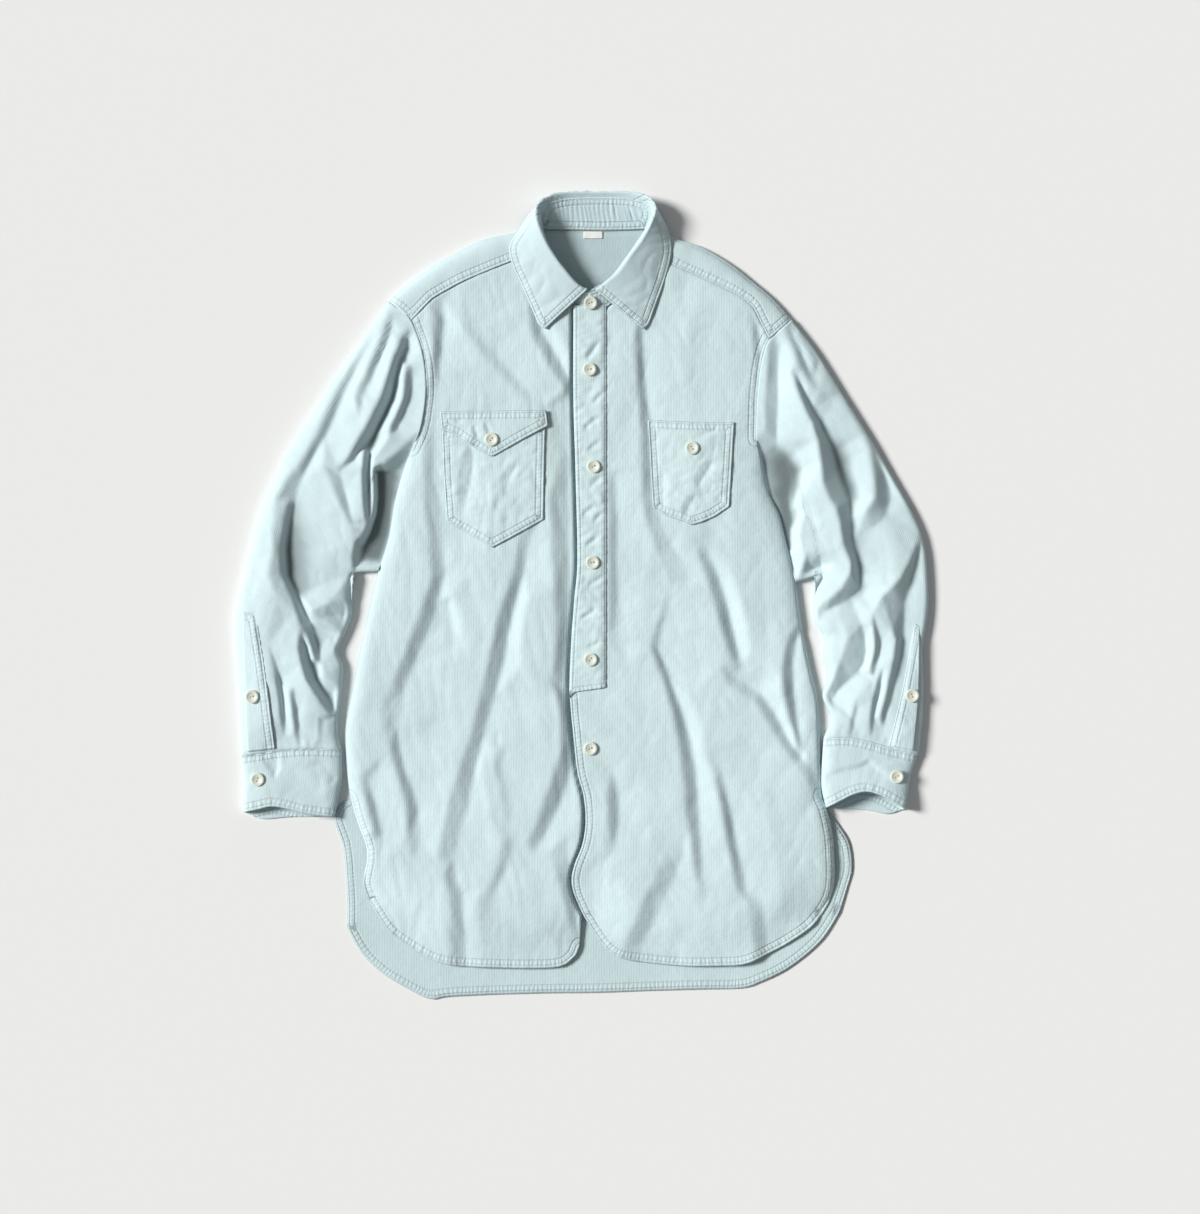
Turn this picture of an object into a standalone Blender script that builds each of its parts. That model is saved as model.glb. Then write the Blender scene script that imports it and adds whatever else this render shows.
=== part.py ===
"""Long-sleeved corduroy shirt lying flat on its back, as cut-and-sewn pieces.

Sizes are in millimetres in a layout that starts at the foot of the neck, x to the
right of the picture and y up to the collar, and are turned to metres at the end.
"right" and "left" in the names are the wearer's: the right sleeve lies at -x.
"""
import math
from collections import namedtuple

import bmesh
import bpy
import numpy as np
from mathutils import Vector
from mathutils.bvhtree import BVHTree

# Driving dimensions
MM = 0.001
LAYOUT_MIDDLE = (0.5, 1.5)     # middle of the shirt's outline in the layout
CLOTH = 1.5                    # wall of one layer of corduroy
TRIM = 1.3                     # wall of a piece sewn on top
SEAM_GAP = 0.4                 # each piece stops so far short of a seam
FLAT_SEAM_GAP = 0.9            # the same on the flat layers, whose edges are drawn more coarsely
LIFT = 0.4                     # between a panel and what is sewn on it
FLOOR_LAYER = CLOTH + SEAM_GAP # lowest underside of anything over the back
FRONT_TOP = 9.0                # upper face of the fronts between folds
HEM_TOP = 5.6                  # upper face of the fronts at the hem
HEM_FALL = 55.0                # length over which the fronts come down to the hem
EDGE_HEIGHT = 4.5              # height of a folded edge's outermost line
EDGE_MIDDLE = 3.5              # height of its middle line on a closed fold
EDGE_ROUND = 12.0              # how far a folded edge rounds in
FOLD_INSET = 2.2               # the layer below a fold starts so far inside it
SLEEVE_RISE = 4.5              # how much a sleeve swells between its two seams
CUFF_TOP = 10.0                # upper face of a cuff
PLACKET_WIDTH = 33.0
PLACKET_FOOT = -91.0
BUTTON_DIAMETER = 13.5
BUTTON_THICKNESS = 2.6
BUTTON_RIM = 1.9
LAP_START = 13.0               # the under front starts down so far before the upper one's edge
LAP_FLAT = 2.0                 # and is flat from so far before it
LAP_UNDER_TOP = 3.8            # upper face of the under front where it is lapped
BACK_SEAM_ENDS = [(-163.5, 262), (188.5, 262)]
RIGHT_FRONT_GRID = (17, 38)    # columns and rows of each panel's grid
LEFT_FRONT_GRID = (17, 38)
BACK_GRID = (8, 30)
YOKE_SIDE_COLUMNS, YOKE_NECK_COLUMNS, YOKE_LOW_ROWS, YOKE_HIGH_ROWS = 8, 8, 4, 4
TUBE_UPPER, TUBE_LOWER = 12, 8 # columns over and points under a sleeve or cuff
SLEEVE_ROWS = 24
CUFF_ROWS = 6
LEAST_FOLD_WIDTH = 7.0         # folds narrower than this are rounded up to it

Colour = namedtuple("Colour", "r g b roughness")
CORDUROY = Colour(0.62, 0.73, 0.76, 0.9)
CREAM = Colour(0.80, 0.76, 0.66, 0.35)
WHITE = Colour(0.85, 0.85, 0.83, 0.7)

# Seams and edges, each from its first named end to the other
OUTLINE = {
    "right shoulder": [(-192, 297), (-185, 305), (-160, 325), (-130, 343), (-100, 358), (-70, 365),
                       (-50, 369)],
    "left shoulder": [(84, 366), (95, 360), (120, 352), (148, 336), (172, 317), (192, 300), (211, 279)],
    "back neck": [(-50, 369), (-30, 369), (20, 368), (65, 369), (84, 366)],
    "right yoke seam": [(-169, 278), (-152, 296), (-145, 302), (-120, 316), (-90, 329), (-68, 338),
                        (-53, 346)],
    "left yoke seam": [(75, 346), (88, 336), (120, 321), (150, 307), (170, 294), (180, 276), (189, 259)],
    "right neckline": [(-53, 346), (-45, 335), (-32, 318), (-18, 302), (-3, 292), (10, 289), (23, 288)],
    "left neckline": [(-7, 288), (10, 287), (24, 288), (42, 303), (57, 319), (69, 335), (75, 346)],
    "right armhole": [(-169, 278), (-159, 250), (-155, 225), (-155, 200), (-160, 170), (-168, 150),
                      (-178, 125), (-186, 95), (-192, 60), (-202, 28)],
    "left armhole": [(189, 259), (184, 248), (180, 230), (177, 200), (176, 160), (182, 130), (188, 105),
                     (198, 85), (203, 65), (208, 45), (215, 17)],
    "right side": [(-202, 28), (-209, 0), (-218, -40), (-228, -90), (-235, -130), (-234, -165),
                   (-230, -200)],
    "left side": [(215, 17), (219, -12), (224, -42), (231, -75), (238, -105), (240, -160), (241, -197)],
    "right front vent": [(-230, -200), (-223, -225), (-215, -246), (-214, -262), (-218, -285),
                         (-213, -302)],
    "left front vent": [(241, -197), (247, -212), (252, -235), (254, -260), (254, -285), (250, -302),
                        (242, -316)],
    "right front hem": [(-213, -302), (-195, -330), (-180, -343), (-160, -356), (-140, -365),
                        (-110, -369), (-30, -370), (-8, -361), (-1, -348)],
    "left front hem": [(3, -318), (17, -340), (27, -352), (40, -360), (60, -364), (100, -368),
                       (140, -368), (165, -366), (190, -355), (210, -344), (230, -330), (242, -316)],
    "right front edge": [(23, 288), (23, 200), (23, 0), (20, -100), (18, -200), (10, -260), (2, -305),
                         (-1, -348)],
    "left front edge": [(-7, 288), (-7, 200), (-5, 130), (-3, 40), (-6, 0), (-9, -40), (-11, -90),
                        (-7, -140), (-3, -175), (3, -197), (5, -222), (2, -245), (-6, -266), (-9, -282),
                        (-6, -298), (3, -318)],
    "right tail side": [(-230, -200), (-238, -203), (-247, -220), (-238, -250), (-234, -300),
                        (-234, -330)],
    "left tail side": [(241, -197), (247, -210), (260, -228), (270, -245), (273, -270), (268, -290),
                       (260, -315)],
    "tail hem": [(-234, -330), (-220, -355), (-200, -375), (-170, -393), (-150, -402), (-130, -399),
                 (-50, -396), (20, -395), (110, -392), (160, -391), (180, -385), (210, -370),
                 (240, -345), (260, -315)],
    "right sleeve outer": [(-192, 297), (-215, 265), (-240, 230), (-270, 185), (-295, 145), (-318, 95),
                           (-330, 55), (-340, 15), (-347, -20), (-345, -60), (-342, -100), (-340, -140),
                           (-339, -157)],
    "right sleeve inner": [(-202, 28), (-228, 25), (-230, 10), (-230, -15), (-237, -35), (-244, -52),
                           (-239, -68), (-240, -90), (-243, -115), (-244, -137), (-240, -151)],
    "right cuff seam": [(-339, -157), (-322, -155), (-305, -152), (-280, -150), (-260, -150),
                        (-240, -151)],
    "right cuff outer": [(-339, -157), (-337, -185), (-337, -214)],
    "right cuff inner": [(-240, -151), (-240, -180), (-243, -200), (-247, -219)],
    "right cuff lip": [(-337, -214), (-323, -211), (-309, -208), (-295, -210), (-275, -215),
                       (-247, -219)],
    "right cuff under": [(-337, -214), (-320, -221), (-290, -219), (-247, -219)],
    "left sleeve outer": [(211, 279), (235, 248), (260, 208), (290, 160), (310, 125), (330, 90),
                          (341, 65), (346, 40), (348, 0), (346, -25), (342, -50), (343, -80),
                          (342, -120), (338, -156)],
    "left sleeve inner": [(215, 17), (242, 23), (236, 8), (234, -12), (236, -25), (245, -40), (243, -55),
                          (247, -78), (243, -97), (248, -110), (251, -122), (244, -140)],
    "left cuff seam": [(244, -140), (268, -139), (290, -143), (310, -149), (338, -156)],
    "left cuff inner": [(244, -140), (242, -170), (242, -190), (246, -209)],
    "left cuff outer": [(338, -156), (331, -175), (327, -195), (325, -211)],
    "left cuff lip": [(246, -209), (260, -202), (272, -196), (285, -193), (298, -196), (310, -202),
                      (325, -211)],
    "left cuff under": [(246, -209), (260, -211), (285, -212), (308, -216), (325, -211)],
}

YOKE_ENDS = {
    "right": [(-169, 278), (-179, 288), (-192, 297)],
    "left": [(189, 259.5), (201, 270), (211, 279)],
}

# A fold runs along its spine, is depth deep (negative goes down), reaches so far to the
# left and right of the spine, and comes up to full depth over the start and end shares.
Fold = namedtuple("Fold", "spine depth left right start end")
RIGHT_FRONT_FOLDS = [
    Fold([(-120, 312), (-128, 280), (-128, 250), (-134, 215), (-142, 175)], -5.2, 12, 5, 0.2, 0.3),
    Fold([(-141, 296), (-142, 255), (-146, 215)], 2.0, 8, 8, 0.4, 0.4),
    Fold([(-142, 175), (-148, 140), (-144, 100), (-138, 60), (-133, 30), (-136, 0)], -4.0, 10, 7, 0.2, 0.3),
    Fold([(-146, 25), (-156, -20), (-170, -65), (-180, -110)], -4.6, 12, 12, 0.3, 0.15),
    Fold([(-180, -100), (-178, -145), (-170, -195), (-168, -255), (-176, -295)], -4.0, 10, 9, 0.15, 0.3),
    Fold([(-112, 282), (-90, 252), (-66, 222), (-45, 198)], -1.8, 10, 9, 0.3, 0.3),
    Fold([(-62, 322), (-57, 290), (-52, 258), (-38, 225), (-18, 198), (-9, 172)], -4.6, 7, 8, 0.3, 0.2),
    Fold([(-50, 70), (-58, 25), (-72, -12), (-80, -60), (-88, -110), (-98, -150)], -5.4, 13, 6, 0.3, 0.4),
    Fold([(-66, 20), (-60, -30), (-66, -80)], 2.2, 8, 9, 0.4, 0.4),
    Fold([(-96, -140), (-110, -190), (-122, -235), (-132, -262)], -3.4, 12, 15, 0.3, 0.3),
    Fold([(-138, -258), (-127, -290), (-122, -330), (-121, -372)], -3.0, 10, 7, 0.4, 0.02),
    Fold([(-225, -180), (-212, -215), (-204, -245), (-205, -275)], -2.8, 8, 8, 0.3, 0.4),
    Fold([(-20, -85), (-22, -110), (-21, -155)], -2.8, 8, 7, 0.3, 0.3),
    Fold([(-10, -150), (-16, -185), (-25, -220), (-22, -250), (-12, -285)], -4.4, 12, 6, 0.3, 0.2),
]
LEFT_FRONT_FOLDS = [
    Fold([(51, 275), (54, 250), (60, 218), (64, 190), (68, 150), (71, 95)], -4.0, 10, 6, 0.3, 0.2),
    Fold([(71, 95), (80, 68), (92, 48), (100, 22), (110, 2)], -2.8, 12, 10, 0.3, 0.4),
    Fold([(32, 120), (33, 80), (32, 40), (32, 0), (34, -45)], -2.4, 5, 8, 0.3, 0.3),
    Fold([(122, 42), (134, 15), (146, -20), (156, -60), (163, -80)], -5.4, 11, 6, 0.25, 0.2),
    Fold([(140, 35), (152, 0), (164, -45)], 2.0, 8, 10, 0.4, 0.4),
    Fold([(150, -75), (172, -100), (190, -130), (210, -160), (230, -192)], -4.2, 8, 7, 0.25, 0.3),
    Fold([(71, -48), (85, -75), (96, -115), (106, -160), (110, -210), (115, -260), (120, -292)],
         -4.6, 15, 8, 0.15, 0.25),
    Fold([(216, -22), (209, -55), (208, -85), (213, -115), (221, -155)], -5.4, 11, 6, 0.25, 0.3),
    Fold([(148, -195), (147, -235), (158, -275)], -3.6, 7, 10, 0.4, 0.3),
    Fold([(172, -290), (184, -320), (183, -358)], -3.0, 8, 7, 0.3, 0.05),
    Fold([(28, -180), (27, -225), (28, -252)], -2.8, 10, 6, 0.3, 0.3),
    Fold([(80, -252), (73, -285), (62, -320), (52, -346)], -2.6, 8, 8, 0.3, 0.3),
    Fold([(169, 284), (178, 258), (182, 238), (184, 222)], -4.6, 6, 5, 0.2, 0.3),
]
RIGHT_SLEEVE_FOLDS = [
    Fold([(-207, 268), (-228, 230), (-255, 175), (-286, 120), (-302, 98)], -3.8, 7, 9, 0.15, 0.3),
    Fold([(-190, 287), (-199, 250), (-212, 215), (-224, 180), (-232, 160)], -4.2, 6, 8, 0.1, 0.3),
    Fold([(-178, 270), (-188, 225), (-204, 188), (-217, 160), (-236, 132)], -8.0, 7, 7, 0.1, 0.2),
    Fold([(-214, 162), (-217, 130), (-217, 100), (-212, 66)], -8.0, 7, 6, 0.15, 0.2),
    Fold([(-172, 248), (-174, 210), (-181, 175), (-192, 158)], -3.2, 6, 5, 0.2, 0.3),
    Fold([(-174, 148), (-192, 132), (-200, 110), (-200, 80), (-207, 42)], -9.0, 8, 12, 0.15, 0.1),
    Fold([(-255, 134), (-245, 105), (-229, 72)], -2.4, 7, 9, 0.3, 0.4),
    Fold([(-290, 110), (-291, 85), (-297, 45), (-290, 8), (-273, -25), (-263, -65)], -8.0, 11, 7, 0.2, 0.2),
    Fold([(-280, -28), (-279, -65), (-264, -103), (-247, -130), (-241, -148)], -7.0, 7, 9, 0.15, 0.1),
    Fold([(-310, -58), (-302, -88), (-297, -148)], -3.6, 7, 6, 0.3, 0.05),
    Fold([(-288, -98), (-284, -118), (-283, -148)], -2.6, 8, 6, 0.3, 0.05),
]
LEFT_SLEEVE_FOLDS = [
    Fold([(211, 270), (222, 240), (230, 222)], -2.6, 6, 6, 0.15, 0.4),
    Fold([(212, 226), (222, 198), (240, 165), (255, 130), (262, 95), (266, 60), (272, 20), (280, 8)],
         -9.0, 10, 9, 0.15, 0.1),
    Fold([(191, 250), (191, 220), (185, 185), (190, 155), (205, 125), (213, 95), (213, 60), (216, 36)],
         -8.0, 9, 11, 0.2, 0.1),
    Fold([(282, 9), (262, 0), (240, -12)], -5.0, 8, 7, 0.1, 0.2),
    Fold([(304, 118), (306, 100), (299, 75), (288, 68)], -3.6, 7, 7, 0.3, 0.3),
    Fold([(341, 54), (328, 20), (318, -2), (300, -18), (286, -20)], -6.0, 10, 10, 0.2, 0.3),
    Fold([(322, -12), (321, -45), (312, -80), (303, -120), (299, -148)], -5.6, 7, 7, 0.2, 0.05),
    Fold([(283, -24), (293, -42), (297, -55), (293, -80)], -4.4, 6, 6, 0.2, 0.3),
    Fold([(282, -26), (288, -50), (275, -75), (252, -98)], -4.8, 9, 8, 0.3, 0.2),
    Fold([(309, -62), (294, -98), (290, -144)], -4.4, 6, 8, 0.3, 0.05),
]

# The collar, station by station from the right end round the back to the left end:
# seam = where the stand joins the neckline, top = where the leaf joins the stand,
# roll = the leaf's crest, edge = the leaf's outer edge. Each is x, y, z.
# sag above 1 lets the leaf fall steeply first and then run out flat.
Station = namedtuple("Station", "seam top roll edge sag")
COLLAR = [
    Station((6, 291.3, 9.6), (4, 306, 19), (7, 308, 22), (-39, 266, 10.4), 1),
    Station((-8, 297.2, 9.6), (-4, 314, 21), (-5, 315, 25), (-48, 288, 10.6), 1),
    Station((-21.6, 308.8, 9.6), (-16, 328, 25), (-19, 331, 29), (-59, 313, 11), 1),
    Station((-34.2, 323.8, 9.6), (-28, 345, 27), (-31, 348, 31), (-69, 336, 11.2), 1),
    Station((-47.3, 343.3, 9.4), (-36, 361, 28), (-39, 364, 32.5), (-71, 354, 11.2), 1),
    Station((-49.4, 357, 8.4), (-40, 377, 28), (-44, 380, 32.5), (-62, 368, 10.5), 1.1),
    Station((-45.5, 370.6, 2.6), (-37, 389, 25), (-42, 393, 29.5), (-50, 386, 8), 1.3),
    Station((-30, 370.1, 1.2), (-26, 395, 19), (-29, 401, 23.5), (-30, 397, 3), 1.6),
    Station((-8, 369.6, 1.2), (-9, 397, 14), (-10, 405, 17.5), (-10, 388, 0.9), 2.4),
    Station((20, 369, 1.2), (20, 398, 12), (20, 406, 15), (20, 380, 0.9), 3),
    Station((46, 369.5, 1.2), (48, 397, 14), (50, 405, 17.5), (50, 388, 0.9), 2.4),
    Station((65, 370.2, 1.2), (64, 394, 19), (68, 399, 23.5), (69, 395, 3), 1.6),
    Station((80, 368.9, 3), (69, 385, 25), (75, 388, 29.5), (82, 380, 8), 1.3),
    Station((79.4, 358.6, 8), (66, 372, 28), (71, 375, 32.5), (89, 362, 10.8), 1.1),
    Station((73, 346, 9.4), (58, 357, 28), (62, 358, 32.5), (91, 345, 11.2), 1),
    Station((62, 328, 9.6), (46, 340, 27), (50, 342, 31), (84, 317, 11), 1),
    Station((45, 308, 9.6), (33, 323, 24.5), (37, 324, 28), (75, 292, 10.6), 1),
    Station((24.6, 290.6, 9.8), (18, 309, 20), (15, 308, 23), (66, 266, 10.4), 1),
]
STAND_OVERLAP = ((4, 290, 12.6), (10, 306, 19.6))
STAND_UNDERLAP = ((18, 297, 8), (22, 315, 17))
LEAF_ROWS = (0.08, 0.3, 0.55, 0.78, 1.0)   # shares of the way from the crest to the leaf's edge
COLLAR_BUTTON = (10, 296, 16.8, 22)   # middle x, y, underside's height and tilt in degrees

# Pieces sewn on top, each a convex outline on its panel
POCKETS = {
    "pocket_right": [(-139, 169), (-137, 120), (-134, 77), (-88, 51), (-37, 79), (-35, 171)],
    "pocket_left": [(67, 179), (72, 91), (85, 83), (103, 77), (113, 74), (132, 81), (149, 92),
                    (154, 176)],
}
POCKET_FLAP = [(-141, 187), (-139, 169), (-89, 143), (-32, 173), (-34, 188)]
SLEEVE_PLACKETS = {
    "sleeve_placket_right": [(-337, -14), (-324, -14), (-312, -88), (-305, -150), (-333, -153)],
    "sleeve_placket_left": [(338, -24), (308, -147), (333, -152), (338, -110)],
}
FRONT_BUTTONS = [(9, 229), (13, 132), (12, 36), (10, -61), (10, -150)]
NECK_LABEL = (12.5, 364.5, 19, 7)   # middle x and y, width and depth
LABEL_THICKNESS = 0.8


def spline(points, count):
    """Evenly spaced points on the Catmull-Rom curve through the given ones."""
    knots = np.array(points, float)
    padded = np.vstack([2 * knots[0] - knots[1], knots, 2 * knots[-1] - knots[-2]])
    steps = np.linspace(0, 1, 12, endpoint=False)[:, None]
    curve = []
    for p0, p1, p2, p3 in zip(padded, padded[1:], padded[2:], padded[3:]):
        curve.append(0.5 * (2 * p1 + (p2 - p0) * steps + (2 * p0 - 5 * p1 + 4 * p2 - p3) * steps ** 2
                            + (3 * p1 - p0 - 3 * p2 + p3) * steps ** 3))
    curve = np.vstack(curve + [knots[-1:]])
    lengths = np.concatenate([[0], np.cumsum(np.linalg.norm(np.diff(curve, axis=0), axis=1))])
    at = np.linspace(0, lengths[-1], count)
    return np.stack([np.interp(at, lengths, curve[:, axis]) for axis in range(knots.shape[1])], axis=1)


def along(points, share):
    """Points at the given shares of a curve's length."""
    fine = spline(points, 241)
    at = np.linspace(0, 1, len(fine))
    return np.stack([np.interp(share, at, fine[:, axis]) for axis in range(fine.shape[1])], axis=-1)


def nearest_on(line, x, y):
    """Distance to a polyline, its sign (+ to the right of a line drawn downwards) and the share along it."""
    best = np.full(x.shape, np.inf)
    side = np.zeros(x.shape)
    share = np.zeros(x.shape)
    lengths = np.linalg.norm(np.diff(line, axis=0), axis=1)
    start = 0.0
    for (ax, ay), (bx, by), length in zip(line, line[1:], lengths):
        dx, dy = bx - ax, by - ay
        t = np.clip(((x - ax) * dx + (y - ay) * dy) / length ** 2, 0, 1)
        gap = np.hypot(x - ax - t * dx, y - ay - t * dy)
        nearer = gap < best
        best = np.where(nearer, gap, best)
        side = np.where(nearer, np.sign((y - ay) * dx - (x - ax) * dy), side)
        share = np.where(nearer, start + t * length, share)
        start += length
    return best, side, share / start


def smooth_step(value):
    value = np.clip(value, 0, 1)
    return value * value * (3 - 2 * value)


def fold_heights(folds, x, y):
    """Sum of the folds' heights at the points x, y."""
    total = np.zeros(x.shape)
    for fold in folds:
        gap, side, share = nearest_on(spline(fold.spine, 18), x, y)
        width = np.where(side > 0, max(fold.right, LEAST_FOLD_WIDTH), max(fold.left, LEAST_FOLD_WIDTH))
        ends = smooth_step(share / fold.start) * smooth_step((1 - share) / fold.end)
        total += fold.depth * np.exp(-(gap / width) ** 1.8) * ends
    return total


def rounding(gap, reach=EDGE_ROUND):
    """0 at a folded edge, rising on a quarter ellipse to 1 at the given reach."""
    inside = 1 - np.clip(gap / reach, 0, 1)
    return np.sqrt(1 - inside ** 2)


class Patch:
    """A four-sided panel between two sides (top to bottom) and two ends (left to right).

    trim moves the left, right, top and bottom borders off their curves, for the seam gaps.
    """

    def __init__(self, left, right, top, bottom, trim=((0, 0),) * 4):
        self.left, self.right, self.top, self.bottom = left, right, top, bottom
        self.trim = trim

    def at(self, u, v):
        left, right = along(self.left, v), along(self.right, v)
        top, bottom = along(self.top, u), along(self.bottom, u)
        u, v = u[:, None], v[:, None]
        corners = ((1 - u) * (1 - v) * np.array(self.top[0]) + u * (1 - v) * np.array(self.top[-1])
                   + (1 - u) * v * np.array(self.bottom[0]) + u * v * np.array(self.bottom[-1]))
        spots = (1 - u) * left + u * right + (1 - v) * top + v * bottom - corners
        for border, shift in zip((u < 1e-6, u > 1 - 1e-6, v < 1e-6, v > 1 - 1e-6), self.trim):
            spots = spots + border * np.array(shift)
        return spots


def joined(*names):
    """One run of points along several outlines that follow on from each other."""
    points = list(OUTLINE[names[0]])
    for name in names[1:]:
        points += OUTLINE[name][1:]
    return points


def walled(height, x, y, least):
    """Upper face and underside of one layer of cloth whose upper face follows height(x, y)."""
    top = np.maximum(height(x, y), least + CLOTH)
    step = 2.0
    slope_x = (height(x + step, y) - height(x - step, y)) / (2 * step)
    slope_y = (height(x, y + step) - height(x, y - step)) / (2 * step)
    under = top - CLOTH * np.clip(np.sqrt(1 + slope_x ** 2 + slope_y ** 2), 1, 1.6)
    return top, np.maximum(under, least)


def material(name, colour):
    new = bpy.data.materials.new(name)
    new.use_nodes = True
    shader = new.node_tree.nodes["Principled BSDF"]
    shader.inputs["Base Color"].default_value = (colour.r, colour.g, colour.b, 1)
    shader.inputs["Roughness"].default_value = colour.roughness
    shader.inputs["Metallic"].default_value = 0
    return new


def add_object(name, mesh_source, colour):
    mesh = bpy.data.meshes.new(name)
    mesh_source.to_mesh(mesh)
    mesh_source.free()
    mesh.materials.append(material(name, colour))
    mesh.shade_smooth()
    mesh.set_sharp_from_angle(angle=math.radians(50))
    piece = bpy.data.objects.new(name, mesh)
    bpy.context.collection.objects.link(piece)
    return piece


def place(verts, points):
    """Move vertices to points given in layout millimetres."""
    for vert, (x, y, z) in zip(verts, points):
        vert.co = ((x - LAYOUT_MIDDLE[0]) * MM, (y - LAYOUT_MIDDLE[1]) * MM, z * MM)


def grid(columns, rows):
    """A flat grid whose vertices remember their column and row, which are returned too."""
    bm = bmesh.new()
    bmesh.ops.create_grid(bm, x_segments=columns, y_segments=rows, size=0.5)
    column = bm.verts.layers.int.new("column")
    row = bm.verts.layers.int.new("row")
    for vert in bm.verts:
        vert[column] = round((vert.co.x + 0.5) * columns)
        vert[row] = round((0.5 - vert.co.y) * rows)
    return bm, column, row


def cloth_piece(name, columns, rows, outer, inner, closed=False, notch=None):
    """A walled piece: outer and inner give points for columns and rows; returns it and its outer skin."""
    bm, column, row = grid(columns, rows)
    if notch:
        gone = [f for f in bm.faces if all(notch(v[column], v[row]) for v in f.verts)]
        bmesh.ops.delete(bm, geom=gone, context="FACES")
    cells = np.array([(v[column], v[row]) for v in bm.verts])
    place(bm.verts, outer(cells[:, 0], cells[:, 1]))
    if closed:
        bmesh.ops.remove_doubles(bm, verts=bm.verts, dist=1e-6)
    bmesh.ops.triangulate(bm, faces=bm.faces)
    skin = bm.copy()
    result = bmesh.ops.extrude_face_region(bm, geom=bm.faces[:], use_keep_orig=True)
    new_verts = [item for item in result["geom"] if isinstance(item, bmesh.types.BMVert)]
    cells = np.array([(v[column], v[row]) for v in new_verts])
    place(new_verts, inner(cells[:, 0], cells[:, 1]))
    bmesh.ops.recalc_face_normals(bm, faces=bm.faces)
    return add_object(name, bm, CORDUROY), skin


def front_piece(name, patch, height, least, columns, rows, spread):
    """A front panel as one layer over its height."""
    def spots(column, row):
        v = row / rows
        x, y = patch.at(spread(column, v), v).T
        top, under = walled(height, x, y, least(x, y))
        return x, y, top, under

    def outer(column, row):
        x, y, top, under = spots(column, row)
        return np.stack([x, y, top], axis=1)

    def inner(column, row):
        x, y, top, under = spots(column, row)
        return np.stack([x, y, under], axis=1)

    return cloth_piece(name, columns, rows, outer, inner)


def side_fall(gap, y):
    """How far a front comes down beside its side edge; above the armpit it stays up."""
    below_armpit = smooth_step((165 - y) / 50)
    return (1 - rounding(gap)) * (FRONT_TOP - EDGE_HEIGHT) * below_armpit


def front_height(side, hem, folds):
    side_line = spline(side, 40)
    hem_line = spline(hem, 40)

    def height(x, y):
        side_gap = nearest_on(side_line, x, y)[0]
        hem_gap = nearest_on(hem_line, x, y)[0]
        fall = (FRONT_TOP - HEM_TOP) * (1 - smooth_step(hem_gap / HEM_FALL))
        return FRONT_TOP - fall - side_fall(side_gap, y) + fold_heights(folds, x, y)
    return height


def build_fronts():
    """The left front laps over the right one, which is pressed flat beneath it."""
    skins = {}
    gap = SEAM_GAP
    lap_line = spline(OUTLINE["left front edge"], 60)

    def lap_x(y):
        return np.interp(-y, -lap_line[:, 1], lap_line[:, 0])

    right_side = joined("right armhole", "right side", "right front vent")
    right_height = front_height(right_side, OUTLINE["right front hem"], RIGHT_FRONT_FOLDS)

    def under_height(x, y):
        lap = smooth_step((x - lap_x(y) + LAP_START) / (LAP_START - LAP_FLAT))
        return right_height(x, y) * (1 - lap) + LAP_UNDER_TOP * lap

    patch = Patch(right_side, OUTLINE["right front edge"], joined("right yoke seam", "right neckline"),
                  OUTLINE["right front hem"], ((gap, 0), (0, 0), (0, -FLAT_SEAM_GAP), (0, 0)))

    def right_spread(column, v):
        """Two columns run along where the cloth steps down under the other front."""
        (left_x, _), (right_x, right_y) = along(right_side, v).T, along(OUTLINE["right front edge"], v).T
        at_start = np.minimum((lap_x(right_y) - LAP_START - left_x) / (right_x - left_x), 0.93)
        at_flat = np.clip((lap_x(right_y) - LAP_FLAT - left_x) / (right_x - left_x), at_start + 0.03, 0.975)
        body = RIGHT_FRONT_GRID[0] - 3
        beyond = at_flat + (1 - at_flat) * (column - body - 1) / 2
        return np.where(column <= body, at_start * column / body, beyond)

    skins["front_right"] = front_piece("front_right", patch, under_height,
                                       lambda x, y: np.full(x.shape, FLOOR_LAYER), *RIGHT_FRONT_GRID,
                                       right_spread)[1]

    left_side = joined("left armhole", "left side", "left front vent")
    left_height = front_height(left_side, OUTLINE["left front hem"], LEFT_FRONT_FOLDS)

    def over_least(x, y):
        return np.where(x < 28, LAP_UNDER_TOP + gap + 0.4, FLOOR_LAYER)

    patch = Patch(OUTLINE["left front edge"], left_side, joined("left neckline", "left yoke seam"),
                  OUTLINE["left front hem"], ((0, 0), (-gap, 0), (0, -FLAT_SEAM_GAP), (0, 0)))
    skins["front_left"] = front_piece("front_left", patch, left_height, over_least, *LEFT_FRONT_GRID,
                                      lambda column, v: column / LEFT_FRONT_GRID[0])[1]
    return skins


def build_back():
    """The back lies flat on the surface from the back yoke's seam to the tail."""
    left = joined("right armhole", "right side", "right tail side")
    right = joined("left armhole", "left side", "left tail side")
    left = [BACK_SEAM_ENDS[0]] + [point for point in left if point[1] < BACK_SEAM_ENDS[0][1] - 5]
    right = [BACK_SEAM_ENDS[1]] + [point for point in right if point[1] < BACK_SEAM_ENDS[1][1] - 5]
    gap = FLAT_SEAM_GAP
    patch = Patch(left, right, BACK_SEAM_ENDS, OUTLINE["tail hem"],
                  ((gap, 0), (-gap, 0), (0, -SEAM_GAP), (0, 0)))
    columns, rows = BACK_GRID

    def layer(z):
        def points(column, row):
            x, y = patch.at(column / columns, row / rows).T
            return np.stack([x, y, np.full(x.shape, z)], axis=1)
        return points
    cloth_piece("back", columns, rows, layer(CLOTH), layer(0.0))


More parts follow.
